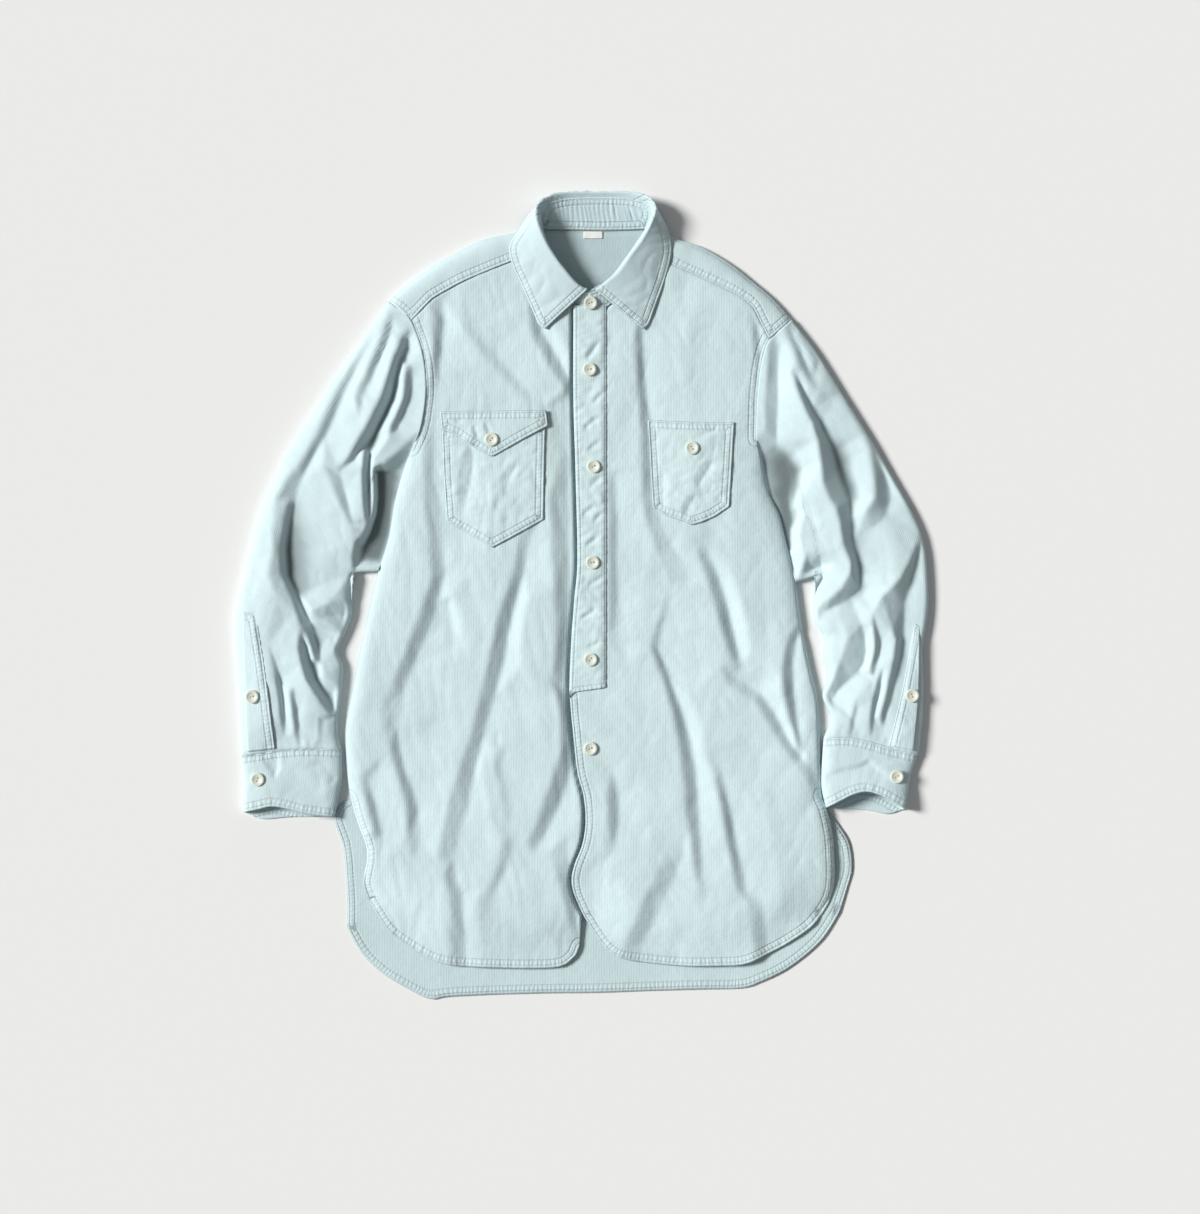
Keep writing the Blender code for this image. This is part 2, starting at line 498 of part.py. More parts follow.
def build_yoke():
    """One piece: flat under the neck, folded over both shoulders to the front seams."""
    columns = 2 * YOKE_SIDE_COLUMNS + YOKE_NECK_COLUMNS
    fold_row = YOKE_LOW_ROWS
    rows = YOKE_LOW_ROWS + 2 + YOKE_HIGH_ROWS
    first_neck = YOKE_SIDE_COLUMNS
    last_neck = YOKE_SIDE_COLUMNS + YOKE_NECK_COLUMNS

    def crest(column):
        """Points on the shoulder lines and the back of the neck, left to right."""
        right = along(OUTLINE["right shoulder"], np.clip(column / YOKE_SIDE_COLUMNS, 0, 1))
        neck = along(OUTLINE["back neck"], np.clip((column - first_neck) / YOKE_NECK_COLUMNS, 0, 1))
        left = along(OUTLINE["left shoulder"], np.clip((column - last_neck) / YOKE_SIDE_COLUMNS, 0, 1))
        column = column[:, None]
        return np.where(column < first_neck, right, np.where(column <= last_neck, neck, left))

    def front_seam(column):
        right = along(OUTLINE["right yoke seam"], np.clip(column / YOKE_SIDE_COLUMNS, 0, 1))
        left = along(OUTLINE["left yoke seam"], np.clip((column - last_neck) / YOKE_SIDE_COLUMNS, 0, 1))
        return np.where(column[:, None] <= first_neck, right, left)

    def flat_part(column, share):
        """The lower layer: straight rows from the back's seam to the crest, its ends on the armholes."""
        (left_x, seam_y), (right_x, _) = BACK_SEAM_ENDS
        x = left_x + (right_x - left_x) * column / columns
        seam = np.stack([x, np.full(x.shape, seam_y)], axis=1)
        spots = seam + (crest(column) - seam) * share[:, None]
        right_end = [BACK_SEAM_ENDS[0]] + YOKE_ENDS["right"]
        left_end = [BACK_SEAM_ENDS[1]] + YOKE_ENDS["left"]
        spots = np.where((column == 0)[:, None], along(right_end, share) + (FLAT_SEAM_GAP, 0), spots)
        return np.where((column == columns)[:, None], along(left_end, share) - (FLAT_SEAM_GAP, 0), spots)

    def points(wall):
        """wall is 0 for the outer face and the cloth's thickness for the inner one."""
        def at(column, row):
            top, seam = crest(column), front_seam(column)
            reach = seam - top
            reach /= np.maximum(np.linalg.norm(reach, axis=1), 1e-6)[:, None]
            low = flat_part(column, np.clip(row / fold_row, 0, 1))
            high = top + (seam - top) * np.clip((row - fold_row - 1) / (YOKE_HIGH_ROWS + 1), 0, 1)[:, None]
            end = ((column == 0) * 1.0 - (column == columns)) * SEAM_GAP
            high[:, 0] += end
            spots = np.where((row <= fold_row)[:, None], low, high)
            neck = (column > first_neck) & (column < last_neck)
            shift = np.where(row == fold_row, FOLD_INSET, np.where(row == fold_row + 1, wall, 0))
            shift = np.where(row == rows, -SEAM_GAP, shift)
            spots = spots + reach * np.where(neck, 0, shift)[:, None]
            lift = EDGE_HEIGHT + (FRONT_TOP - EDGE_HEIGHT) * rounding(np.linalg.norm(spots - top, axis=1))
            z = np.where(row <= fold_row, wall, np.where(row == fold_row + 1, EDGE_MIDDLE, lift - wall))
            return np.column_stack([spots, z])
        return at

    def notch(column, row):
        return first_neck <= column <= last_neck and row >= fold_row

    cloth_piece("yoke", columns, rows, points(0.0), points(CLOTH), notch=notch)


def tube_piece(name, upper, lower, height, rows, lift):
    """A flattened tube: an upper layer over a flat lower one, joined along two folded sides."""
    ring = TUBE_UPPER + 1 + TUBE_LOWER

    def points(wall):
        def at(column, row):
            column = column % ring
            v = row / rows
            left = upper.at(np.zeros(v.shape), v)
            right = upper.at(np.ones(v.shape), v)
            width = np.maximum(np.linalg.norm(right - left, axis=1), 1)
            share = column / TUBE_UPPER
            share = np.where(column == 0, wall / width, share)
            share = np.where(column == TUBE_UPPER, 1 - wall / width, share)
            share = np.where(column == 1, np.minimum(share, FOLD_INSET / width), share)
            share = np.where(column == TUBE_UPPER - 1, np.maximum(share, 1 - FOLD_INSET / width), share)
            low_share = 1 - (column - TUBE_UPPER) / (TUBE_LOWER + 1)
            low_share = np.clip(low_share, FOLD_INSET / width, 1 - FOLD_INSET / width)
            over = column <= TUBE_UPPER
            x, y = np.where(over[:, None], upper.at(share, v), lower.at(low_share, v)).T
            top, under = walled(height, x, y, CLOTH + SEAM_GAP)
            z = np.where(over, (top if wall == 0 else under) + lift(v), wall)
            folded = (column == 0) | (column == TUBE_UPPER)
            return np.column_stack([x, y, np.where(folded, EDGE_MIDDLE, z)])
        return at
    return cloth_piece(name, ring, rows, points(0.0), points(CLOTH), closed=True)


def sleeve_height(sides, folds):
    lines = [spline(side, 40) for side in sides]

    def height(x, y):
        gap = np.minimum(nearest_on(lines[0], x, y)[0], nearest_on(lines[1], x, y)[0])
        swell = SLEEVE_RISE * smooth_step(gap / 35)
        return EDGE_HEIGHT + (FRONT_TOP - EDGE_HEIGHT) * rounding(gap) + swell + fold_heights(folds, x, y)
    return height


def level(v):
    """No change of height along the tube."""
    return np.zeros(v.shape)


def build_sleeves():
    skins = {}
    gap = SEAM_GAP
    heads = {"right": YOKE_ENDS["right"][::-1] + OUTLINE["right armhole"][1:],
             "left": OUTLINE["left armhole"][::-1] + YOKE_ENDS["left"][1:]}
    for side, edges, out, folds in (("right", ("outer", "inner"), -1, RIGHT_SLEEVE_FOLDS),
                                    ("left", ("inner", "outer"), 1, LEFT_SLEEVE_FOLDS)):
        left, right = (OUTLINE[f"{side} sleeve {edge}"] for edge in edges)
        seam = OUTLINE[f"{side} cuff seam"]
        upper = Patch(left, right, heads[side], seam, ((0, 0), (0, 0), (out * gap, 0), (0, gap)))
        lower = Patch(left, right, heads[side], seam,
                      ((0, 0), (0, 0), (out * FLAT_SEAM_GAP, 0), (0, gap)))
        height = sleeve_height((left, right), folds)
        skins[f"sleeve_{side}"] = tube_piece(f"sleeve_{side}", upper, lower, height, SLEEVE_ROWS, level)[1]
    return skins


def build_cuffs():
    skins = {}
    for side, edges, lip_rise in (("right", ("outer", "inner"), 1.5), ("left", ("inner", "outer"), 7.0)):
        left, right = (OUTLINE[f"{side} cuff {edge}"] for edge in edges)
        trim = ((0, 0), (0, 0), (0, -SEAM_GAP), (0, 0))
        seam = OUTLINE[f"{side} cuff seam"]
        upper = Patch(left, right, seam, OUTLINE[f"{side} cuff lip"], trim)
        lower = Patch(left, right, seam, OUTLINE[f"{side} cuff under"], trim)
        lines = [spline(line, 30) for line in (left, right)]

        def height(x, y, lines=lines):
            gap = np.minimum(nearest_on(lines[0], x, y)[0], nearest_on(lines[1], x, y)[0])
            return EDGE_HEIGHT + (CUFF_TOP - EDGE_HEIGHT) * rounding(gap, 14)

        def mouth(v, lip_rise=lip_rise):
            return lip_rise * smooth_step((v - 0.3) / 0.7)
        skins[f"cuff_{side}"] = tube_piece(f"cuff_{side}", upper, lower, height, CUFF_ROWS, mouth)[1]
    return skins


def sewn_on(name, skin, outline, lift=LIFT, thickness=TRIM, colour=CORDUROY):
    """A piece cut out of a panel's outer skin by its outline, lifted off it and given a wall."""
    bm = skin.copy()
    lower_layer = [f for f in bm.faces if min(v.co.z for v in f.verts) < FLOOR_LAYER * MM / 2]
    bmesh.ops.delete(bm, geom=lower_layer, context="FACES")
    corners = [Vector(((x - LAYOUT_MIDDLE[0]) * MM, (y - LAYOUT_MIDDLE[1]) * MM, 0)) for x, y in outline]
    middle = sum(corners, Vector()) / len(corners)
    for start, end in zip(corners, corners[1:] + corners[:1]):
        across = (end - start).cross(Vector((0, 0, 1)))
        if across.dot(middle - start) > 0:
            across.negate()
        bmesh.ops.bisect_plane(bm, geom=bm.verts[:] + bm.edges[:] + bm.faces[:], dist=1e-6,
                               plane_co=start, plane_no=across, clear_outer=True)
    bmesh.ops.remove_doubles(bm, verts=bm.verts, dist=0.15 * MM)
    bmesh.ops.triangulate(bm, faces=bm.faces)
    bmesh.ops.translate(bm, verts=bm.verts, vec=(0, 0, lift * MM))
    outer_skin = bm.copy()
    bmesh.ops.translate(outer_skin, verts=outer_skin.verts, vec=(0, 0, thickness * MM))
    result = bmesh.ops.extrude_face_region(bm, geom=bm.faces[:], use_keep_orig=True)
    raised = [item for item in result["geom"] if isinstance(item, bmesh.types.BMVert)]
    bmesh.ops.translate(bm, verts=raised, vec=(0, 0, thickness * MM))
    bmesh.ops.recalc_face_normals(bm, faces=bm.faces)
    add_object(name, bm, colour)
    return outer_skin


def collar_sheet(name, rows, count):
    """A sheet through rows of points, smoothed along the collar, walled half to each side."""
    rows = [spline(row, count) for row in rows]
    bm, column, row = grid(count - 1, len(rows) - 1)
    place(bm.verts, [rows[v[row]][v[column]] for v in bm.verts])
    piece = add_object(name, bm, CORDUROY)
    wall = piece.modifiers.new("Wall", "SOLIDIFY")
    wall.thickness = CLOTH * MM
    wall.offset = 0
    wall.use_even_offset = True
    return piece


def between(first, second, share):
    return tuple(a + (b - a) * share for a, b in zip(first, second))


def build_collar():
    """The stand rises from the neckline; the leaf turns over its top and falls outside it."""
    feet = [STAND_UNDERLAP] + [(end.seam, end.top) for end in COLLAR] + [STAND_OVERLAP]
    stand_rows = [[between(foot, top, share) for foot, top in feet] for share in (0.0, 0.5, 1.0)]
    collar_sheet("collar_stand", stand_rows, 36)

    leaf_rows = [[between(end.top, end.roll, 0.4) for end in COLLAR], [end.roll for end in COLLAR]]
    for share in LEAF_ROWS:
        row = []
        for end in COLLAR:
            x, y, _ = between(end.roll, end.edge, share)
            row.append((x, y, end.edge[2] + (end.roll[2] - end.edge[2]) * (1 - share) ** end.sag))
        leaf_rows.append(row)
    collar_sheet("collar_leaf", leaf_rows, 34)


def button(name, x, y, z, tilt=0.0):
    """A turned button with a raised rim, its underside at the given height."""
    bm = bmesh.new()
    bmesh.ops.create_cone(bm, cap_ends=True, segments=16, radius1=BUTTON_DIAMETER / 2 * MM,
                          radius2=BUTTON_DIAMETER / 2 * MM, depth=BUTTON_THICKNESS * MM)
    top = max(bm.faces, key=lambda f: f.calc_center_median().z)
    bmesh.ops.inset_individual(bm, faces=[top], thickness=BUTTON_RIM * MM)
    bmesh.ops.translate(bm, verts=top.verts, vec=(0, 0, -0.7 * MM))
    piece = add_object(name, bm, CREAM)
    piece.location = ((x - LAYOUT_MIDDLE[0]) * MM, (y - LAYOUT_MIDDLE[1]) * MM,
                      (z + BUTTON_THICKNESS / 2) * MM)
    piece.rotation_euler = (tilt, 0, 0)
    return piece


def seat(skins, x, y):
    """Highest point of the given skins under a button at x, y."""
    trees = [BVHTree.FromBMesh(skin) for skin in skins]
    highest = 0.0
    for ring in (0.0, 0.5, 1.0):
        for step in range(12):
            angle = step * math.tau / 12
            reach = ring * BUTTON_DIAMETER / 2 + 0.2 * ring
            origin = Vector(((x - LAYOUT_MIDDLE[0] + reach * math.cos(angle)) * MM,
                             (y - LAYOUT_MIDDLE[1] + reach * math.sin(angle)) * MM, 0.1))
            for tree in trees:
                hit = tree.ray_cast(origin, Vector((0, 0, -1)))[0]
                if hit:
                    highest = max(highest, hit.z / MM)
    return highest


def add_button(name, skins, x, y):
    button(name, x, y, seat(skins, x, y) + LIFT)


def build_label():
    x, y, width, depth = NECK_LABEL
    bm = bmesh.new()
    bmesh.ops.create_cube(bm, size=1)
    bmesh.ops.scale(bm, verts=bm.verts, vec=(width * MM, depth * MM, LABEL_THICKNESS * MM))
    bmesh.ops.translate(bm, verts=bm.verts, vec=((x - LAYOUT_MIDDLE[0]) * MM, (y - LAYOUT_MIDDLE[1]) * MM,
                                                 (CLOTH + LIFT + LABEL_THICKNESS / 2) * MM))
    add_object("neck_label", bm, WHITE)


def build_trims(skins):
    edge = OUTLINE["left front edge"][0][0]
    placket = [(edge - 30, 300), (edge + PLACKET_WIDTH, 300), (edge + PLACKET_WIDTH, PLACKET_FOOT + 4),
               (edge - 30, PLACKET_FOOT - 4)]
    placket_skin = sewn_on("front_placket", skins["front_left"], placket)
    right_pocket = sewn_on("pocket_right", skins["front_right"], POCKETS["pocket_right"])
    flap = sewn_on("pocket_flap_right", skins["front_right"], POCKET_FLAP, lift=2 * LIFT + TRIM)
    left_pocket = sewn_on("pocket_left", skins["front_left"], POCKETS["pocket_left"])
    for number, (x, y) in enumerate(FRONT_BUTTONS, 1):
        add_button(f"button_front_{number}", [placket_skin, skins["front_left"]], x, y)
    add_button("button_pocket_right", [flap, right_pocket], -89, 159)
    add_button("button_pocket_left", [left_pocket], 111.5, 150.5)
    for side, x, y in (("right", -328, -98), ("left", 331.5, -97)):
        strip = sewn_on(f"sleeve_placket_{side}", skins[f"sleeve_{side}"],
                        SLEEVE_PLACKETS[f"sleeve_placket_{side}"])
        add_button(f"button_sleeve_{side}", [strip, skins[f"sleeve_{side}"]], x, y)
    add_button("button_cuff_right", [skins["cuff_right"]], -323, -181)
    add_button("button_cuff_left", [skins["cuff_left"]], 316, -178)
    x, y, z, tilt = COLLAR_BUTTON
    button("button_collar", x, y, z, math.radians(tilt))


def main():
    for old in list(bpy.data.objects):
        bpy.data.objects.remove(old)
    skins = build_fronts()
    build_back()
    build_yoke()
    skins.update(build_sleeves())
    skins.update(build_cuffs())
    build_collar()
    build_trims(skins)
    build_label()


main()
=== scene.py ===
import math
from collections import namedtuple

import bmesh
import bpy
import numpy as np
from mathutils import Matrix, Vector
from mathutils.bvhtree import BVHTree
from mathutils.geometry import delaunay_2d_cdt


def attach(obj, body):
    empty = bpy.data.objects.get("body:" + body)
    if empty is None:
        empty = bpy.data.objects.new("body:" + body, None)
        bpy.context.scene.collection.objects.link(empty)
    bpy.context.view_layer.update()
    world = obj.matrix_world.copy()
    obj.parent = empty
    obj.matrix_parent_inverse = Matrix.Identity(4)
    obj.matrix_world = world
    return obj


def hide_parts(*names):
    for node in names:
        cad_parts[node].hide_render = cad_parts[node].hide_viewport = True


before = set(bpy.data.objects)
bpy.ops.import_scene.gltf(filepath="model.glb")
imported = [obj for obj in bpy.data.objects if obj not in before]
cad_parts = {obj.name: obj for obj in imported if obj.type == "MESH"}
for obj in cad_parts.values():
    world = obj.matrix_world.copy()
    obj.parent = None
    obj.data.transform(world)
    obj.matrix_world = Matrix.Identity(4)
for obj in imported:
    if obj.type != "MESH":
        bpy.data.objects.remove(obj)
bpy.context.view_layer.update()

bl_info = {
    "name": "Corduroy shirt",
    "version": (1, 0, 0),
    "blender": (4, 5, 0),
    "location": "View3D > Sidebar > Shirt",
    "description": "A corduroy shirt laid flat, in sewn panels with folds, seams and buttons",
    "category": "Add Mesh",
}

MM = 0.001
LAYOUT_MIDDLE = (0.5, 1.5)   # middle of the shirt's outline in the layout, in mm

# Heights and sizes in mm
CLOTH = 1.5            # thickness of one layer
TRIM = 1.2             # thickness of a piece sewn on top
UNDERLAP = 2.2         # how far an edge reaches under the piece that it is sewn to
UNDERLAP_DROP = 1.5
ARMHOLE_TURN = 150.0   # about this y the sleeve goes from over the front to under it
LIFT = 0.4             # between a panel and what is sewn on it
FRONT_TOP = 11.5       # upper face of the fronts, away from their edges and creases
HEM_TOP = 5.6
HEM_FALL = 55.0        # distance from the hem over which the fronts come down to it
EDGE_HEIGHT = 5.5      # upper face at a folded side
EDGE_MIDDLE = 3.5      # height of the outermost line of a folded side
EDGE_ROUND = 17.0      # how far from a folded side the upper layer is still rounded
FOLD_DEPTH = 2.0       # how far a fold's two layers stay inside its outermost line
YOKE_EDGE = 6.2        # upper layer of the yoke beside its fold
SLEEVE_RISE = 5.5      # how much higher the sleeves' middles are than the fronts
SLEEVE_ROUND = 11.0
CUFF_TOP = 11.0
CUFF_ROUND = 14.0
LAP_START, LAP_FLAT = 4.5, 0.5   # distances from the lap's edge between which the lower front goes down
LAP_UNDER_TOP = 3.8    # upper face of the lower front inside the lap
BACK_SEAM_ENDS = [(-163.5, 262), (188.5, 262)]
PLACKET_RIGHT_EDGE = 26.0
PLACKET_FOOT = (-94, -89)
PLACKET_ROWS = 4.0, 6.6   # how far the band's left and right seams move out, to leave it single rows
LEAST_LAYER = 1.9      # lowest underside of a layer that lies over another
SLEEVE_FLAT_WIDTH = 175.0
CUFF_FLAT_WIDTH = 98.0
HEAD_SHIFT = 5.0       # how far the sleeve's head goes in under the front below the turn
FOLD_SHADE_START = 4.5     # depth of a sleeve's fold at which the painted shade in its bottom starts
PLACKET_SLIT_TOP = -82.0
TIP_ROUND = 5.5        # how much of each collar tip is rounded off
FRONT_SHARE = 0.72     # the fronts' creases are shallower than the sleeves'
ARMPIT_DROP = -7.0     # how far the sleeve goes down to the armhole below the turn
STITCH_ROWS = (2.6, 7.8)   # distances of the two rows of stitching from a seam
FOLD_FACTOR = 1.2
CREST_LEFT, CREST_RIGHT = 0.5, 0.1   # a fold's crests beside its bottom, as shares of its depth

# Seams and edges in the layout: mm to the picture's right and up from a point in the body's middle
OUTLINE = {
    "right shoulder": [(-192, 297), (-185, 305), (-160, 325), (-130, 343), (-100, 358), (-70, 365),
                       (-50, 369)],
    "left shoulder": [(84, 366), (95, 360), (120, 352), (148, 336), (172, 317), (192, 300), (211, 279)],
    "back neck": [(-50, 369), (-30, 369), (20, 368), (65, 369), (84, 366)],
    "right yoke seam": [(-169, 278), (-152, 296), (-145, 302), (-120, 316), (-90, 329), (-68, 338),
                        (-53, 346)],
    "left yoke seam": [(75, 346), (88, 336), (120, 321), (150, 307), (170, 294), (180, 276), (189, 259)],
    "right neckline": [(-53, 346), (-45, 335), (-32, 318), (-18, 302), (-3, 292), (10, 289), (23, 288)],
    "left neckline": [(-7, 288), (10, 287), (24, 288), (42, 303), (57, 319), (69, 335), (75, 346)],
    "right armhole": [(-169, 278), (-159, 250), (-155, 225), (-155, 200), (-160, 170), (-168, 150),
                      (-178, 125), (-186, 95), (-192, 60), (-202, 28)],
    "left armhole": [(189, 259), (184, 248), (180, 230), (177, 200), (176, 160), (182, 130), (188, 105),
                     (198, 85), (203, 65), (208, 45), (215, 17)],
    "right side": [(-202, 28), (-209, 0), (-218, -40), (-228, -90), (-235, -130), (-234, -165),
                   (-230, -200)],
    "left side": [(215, 17), (219, -12), (224, -42), (231, -75), (238, -105), (240, -160), (241, -197)],
    "right front vent": [(-230, -200), (-223, -225), (-215, -246), (-214, -262), (-218, -285),
                         (-213, -302)],
    "left front vent": [(241, -197), (247, -212), (252, -235), (254, -260), (254, -285), (250, -302),
                        (242, -316)],
    "right front hem": [(-213, -302), (-195, -330), (-180, -343), (-160, -356), (-140, -365),
                        (-110, -369), (-30, -370), (-8, -361), (-1, -348)],
    "left front hem": [(3, -318), (17, -340), (27, -352), (40, -360), (60, -364), (100, -368),
                       (140, -368), (165, -366), (190, -355), (210, -344), (230, -330), (242, -316)],
    "right front edge": [(23, 288), (23, 200), (23, 0), (20, -100), (18, -200), (10, -260), (2, -305),
                         (-1, -348)],
    "left front edge": [(-7, 288), (-7, 200), (-5, 130), (-3, 40), (-6, 0), (-9, -40), (-11, -90),
                        (-7, -140), (-3, -175), (3, -197), (5, -222), (2, -245), (-6, -266), (-9, -282),
                        (-6, -298), (3, -318)],
    "right tail side": [(-230, -200), (-238, -203), (-247, -220), (-238, -250), (-234, -300),
                        (-234, -330)],
    "left tail side": [(241, -197), (247, -210), (260, -228), (270, -245), (273, -270), (268, -290),
                       (260, -315)],
    "tail hem": [(-234, -330), (-220, -355), (-200, -375), (-170, -393), (-150, -402), (-130, -399),
                 (-50, -396), (20, -395), (110, -392), (160, -391), (180, -385), (210, -370),
                 (240, -345), (260, -315)],
    "right sleeve outer": [(-192, 297), (-215, 265), (-240, 230), (-270, 185), (-295, 145), (-318, 95),
                           (-330, 55), (-340, 15), (-347, -20), (-345, -60), (-342, -100), (-340, -140),
                           (-339, -157)],
    "right sleeve inner": [(-202, 28), (-228, 25), (-230, 10), (-230, -15), (-237, -35), (-244, -52),
                           (-239, -68), (-240, -90), (-243, -115), (-244, -137), (-240, -151)],
    "right cuff seam": [(-339, -157), (-322, -155), (-305, -152), (-280, -150), (-260, -150),
                        (-240, -151)],
    "right cuff outer": [(-339, -157), (-337, -185), (-337, -214)],
    "right cuff inner": [(-240, -151), (-240, -180), (-243, -200), (-247, -219)],
    "right cuff lip": [(-337, -214), (-323, -211), (-309, -208), (-295, -210), (-275, -215),
                       (-247, -219)],
    "right cuff under": [(-337, -214), (-320, -221), (-290, -219), (-247, -219)],
    "left sleeve outer": [(211, 279), (235, 248), (260, 208), (290, 160), (310, 125), (330, 90),
                          (341, 65), (346, 40), (348, 0), (346, -25), (342, -50), (343, -80),
                          (342, -120), (338, -156)],
    "left sleeve inner": [(215, 17), (242, 23), (236, 8), (234, -12), (236, -25), (245, -40), (243, -55),
                          (247, -78), (243, -97), (248, -110), (251, -122), (244, -140)],
    "left cuff seam": [(244, -140), (268, -139), (290, -143), (310, -149), (338, -156)],
    "left cuff inner": [(244, -140), (242, -170), (242, -190), (246, -209)],
    "left cuff outer": [(338, -156), (331, -175), (327, -195), (325, -211)],
    "left cuff lip": [(246, -209), (260, -202), (272, -196), (285, -193), (298, -196), (310, -202),
                      (325, -211)],
    "left cuff under": [(246, -209), (260, -211), (285, -212), (308, -216), (325, -211)],
}
YOKE_ENDS = {
    "right": [(-169, 278), (-179, 288), (-192, 297)],
    "left": [(189, 259.5), (201, 270), (211, 279)],
}

# Creases as lines of x, y and height above the smooth form; the cloth is flat from one line to
# the next. Most valleys have the ridge that shades them on their left.
RIGHT_FRONT_CREASES = [
    [(-150, 296, 0), (-147, 280, 2), (-147, 250, 2), (-150, 225, 1)],
    [(-138, 302, -2), (-137, 280, -5), (-139, 250, -4.5), (-142, 220, -3), (-147, 190, -2)],
    [(-118, 270, 0.5), (-95, 240, 1.2), (-72, 215, 1), (-58, 201, 0.3)],
    [(-107, 270, -1.5), (-84, 243, -2.2), (-62, 217, -2.2), (-47, 202, -1.5)],
    [(-57, 305, 0), (-53, 288, 1.5), (-49, 264, 2.2), (-31, 232, 2.2), (-16, 210, 1)],
    [(-48, 306, -2), (-43, 285, -4), (-38, 267, -4.5), (-22, 240, -5), (-11, 219, -4.5)],
    [(-28, 276, 0.5), (-16, 254, 0.8)],
    [(-38, 190, 0.5), (-36, 150, 1.5), (-26, 118, 1.5), (-32, 96, 2), (-30, 60, 2), (-27, 10, 2),
     (-24, -40, 2), (-27, -74, 2)],
    [(-13, 200, -4), (-14, 150, -3.5), (-13, 110, -4.5), (-12, 60, -4.5), (-12, 10, -5), (-13, -40, -5),
     (-16, -78, -4)],
    [(-158, 165, 0.5), (-158, 130, 1.8), (-156, 95, 1.8), (-152, 55, 2), (-149, 22, 2.2), (-160, -12, 2.5),
     (-174, -49, 2.5), (-186, -80, 1.8), (-199, -112, 0.5)],
    [(-147, 165, -2.5), (-146, 130, -3), (-143, 95, -3.2), (-139, 55, -3.8), (-136, 25, -4.5),
     (-144, -6, -5), (-156, -40, -5), (-169, -70, -4.5), (-180, -97, -3), (-189, -116, -1)],
    [(-133, -4, -4.5), (-128, -22, -4.5), (-121, -44, -2.5)],
    [(-127, 4, 0.5), (-119, -20, 1), (-113, -46, 1)],
    [(-62, 60, 0.5), (-67, 30, 1.8), (-74, 6, 2.5), (-81, -12, 3), (-89, -49, 3), (-97, -83, 2.8),
     (-108, -126, 2.2), (-122, -172, 2.2), (-132.5, -206, 2), (-139, -237, 1.8), (-144, -264, 0.5)],
    [(-50, 62, -2), (-56, 30, -4), (-65, -6, -5.5), (-71, -30, -6), (-76, -60, -5.5), (-86, -98, -4.5),
     (-97, -140, -4), (-108, -185, -4), (-118, -225, -3.5), (-125, -255, -2.5)],
    [(-52, 0, 1), (-58, -35, 1.2), (-62, -70, 1)],
    [(-137, -276, 2), (-132, -292, 3.2), (-131, -330, 4), (-131, -384, 4)],
    [(-126, -279, -3), (-118, -296, -2.5), (-116, -330, -1.5), (-115, -386, -1)],
    [(-104, -300, 1.5), (-100, -335, 1.8), (-97, -386, 1.8)],
    [(-76, -236, 0.8), (-78, -250, 1.2), (-84, -272, 1.2), (-92, -290, 0.5)],
    [(-69, -234, -0.5), (-67, -250, -2.5), (-74, -268, -2.5), (-82, -286, -2), (-88, -300, -0.5)],
    [(-82, -150, 0.8), (-87, -168, 1), (-81, -190, 0.5)],
    [(-75, -147, -0.8), (-79, -168, -1.8), (-73, -186, -1)],
    [(-31, -80, 1), (-25, -95, 2.2), (-21, -112, 2.2), (-19, -140, 2), (-21, -157, 2.5), (-29, -181, 3),
     (-38, -206, 3), (-48, -234, 1.8), (-52, -244, 0.5)],
    [(-21, -88, -3), (-14, -100, -4.5), (-11, -115, -5), (-10, -140, -4.5), (-10, -170, -5.5),
     (-16, -194, -6), (-28, -221, -5), (-40, -244, -3), (-48, -254, -0.8)],
    [(-31, -254, 0.5), (-26, -270, 2), (-19, -292, 3), (-13, -318, 2.5)],
    [(-14, -236, -1), (-13, -258, -3.5), (-9, -282, -3.5), (-5, -310, -2)],
    [(-197, -128, 1), (-191, -150, 2), (-185, -172, 2), (-178, -192, 2), (-174, -215, 2), (-174, -240, 1)],
    [(-185, -127, -2.5), (-181, -150, -4), (-176, -172, -4), (-168, -192, -4.5), (-162, -215, -4.5),
     (-161, -240, -3), (-166, -264, -0.8)],
    [(-222, -178, 1.5), (-214, -205, 2.5), (-208, -232, 2)],
    [(-212, -184, -2), (-204, -210, -3.5), (-199, -235, -3), (-199, -262, -0.8)],
    [(-150, -300, 0.8), (-160, -330, 1.2)],
    [(-204, -20, 0.5), (-210, -60, 0.8), (-216, -100, 0.8)],
    [(-108, 30, 0.8), (-112, -60, 1), (-124, -110, 0.6)],
    [(-100, -170, -0.5), (-92, -215, 0.6), (-60, -290, 0.8), (-58, -340, 0.6)],
]
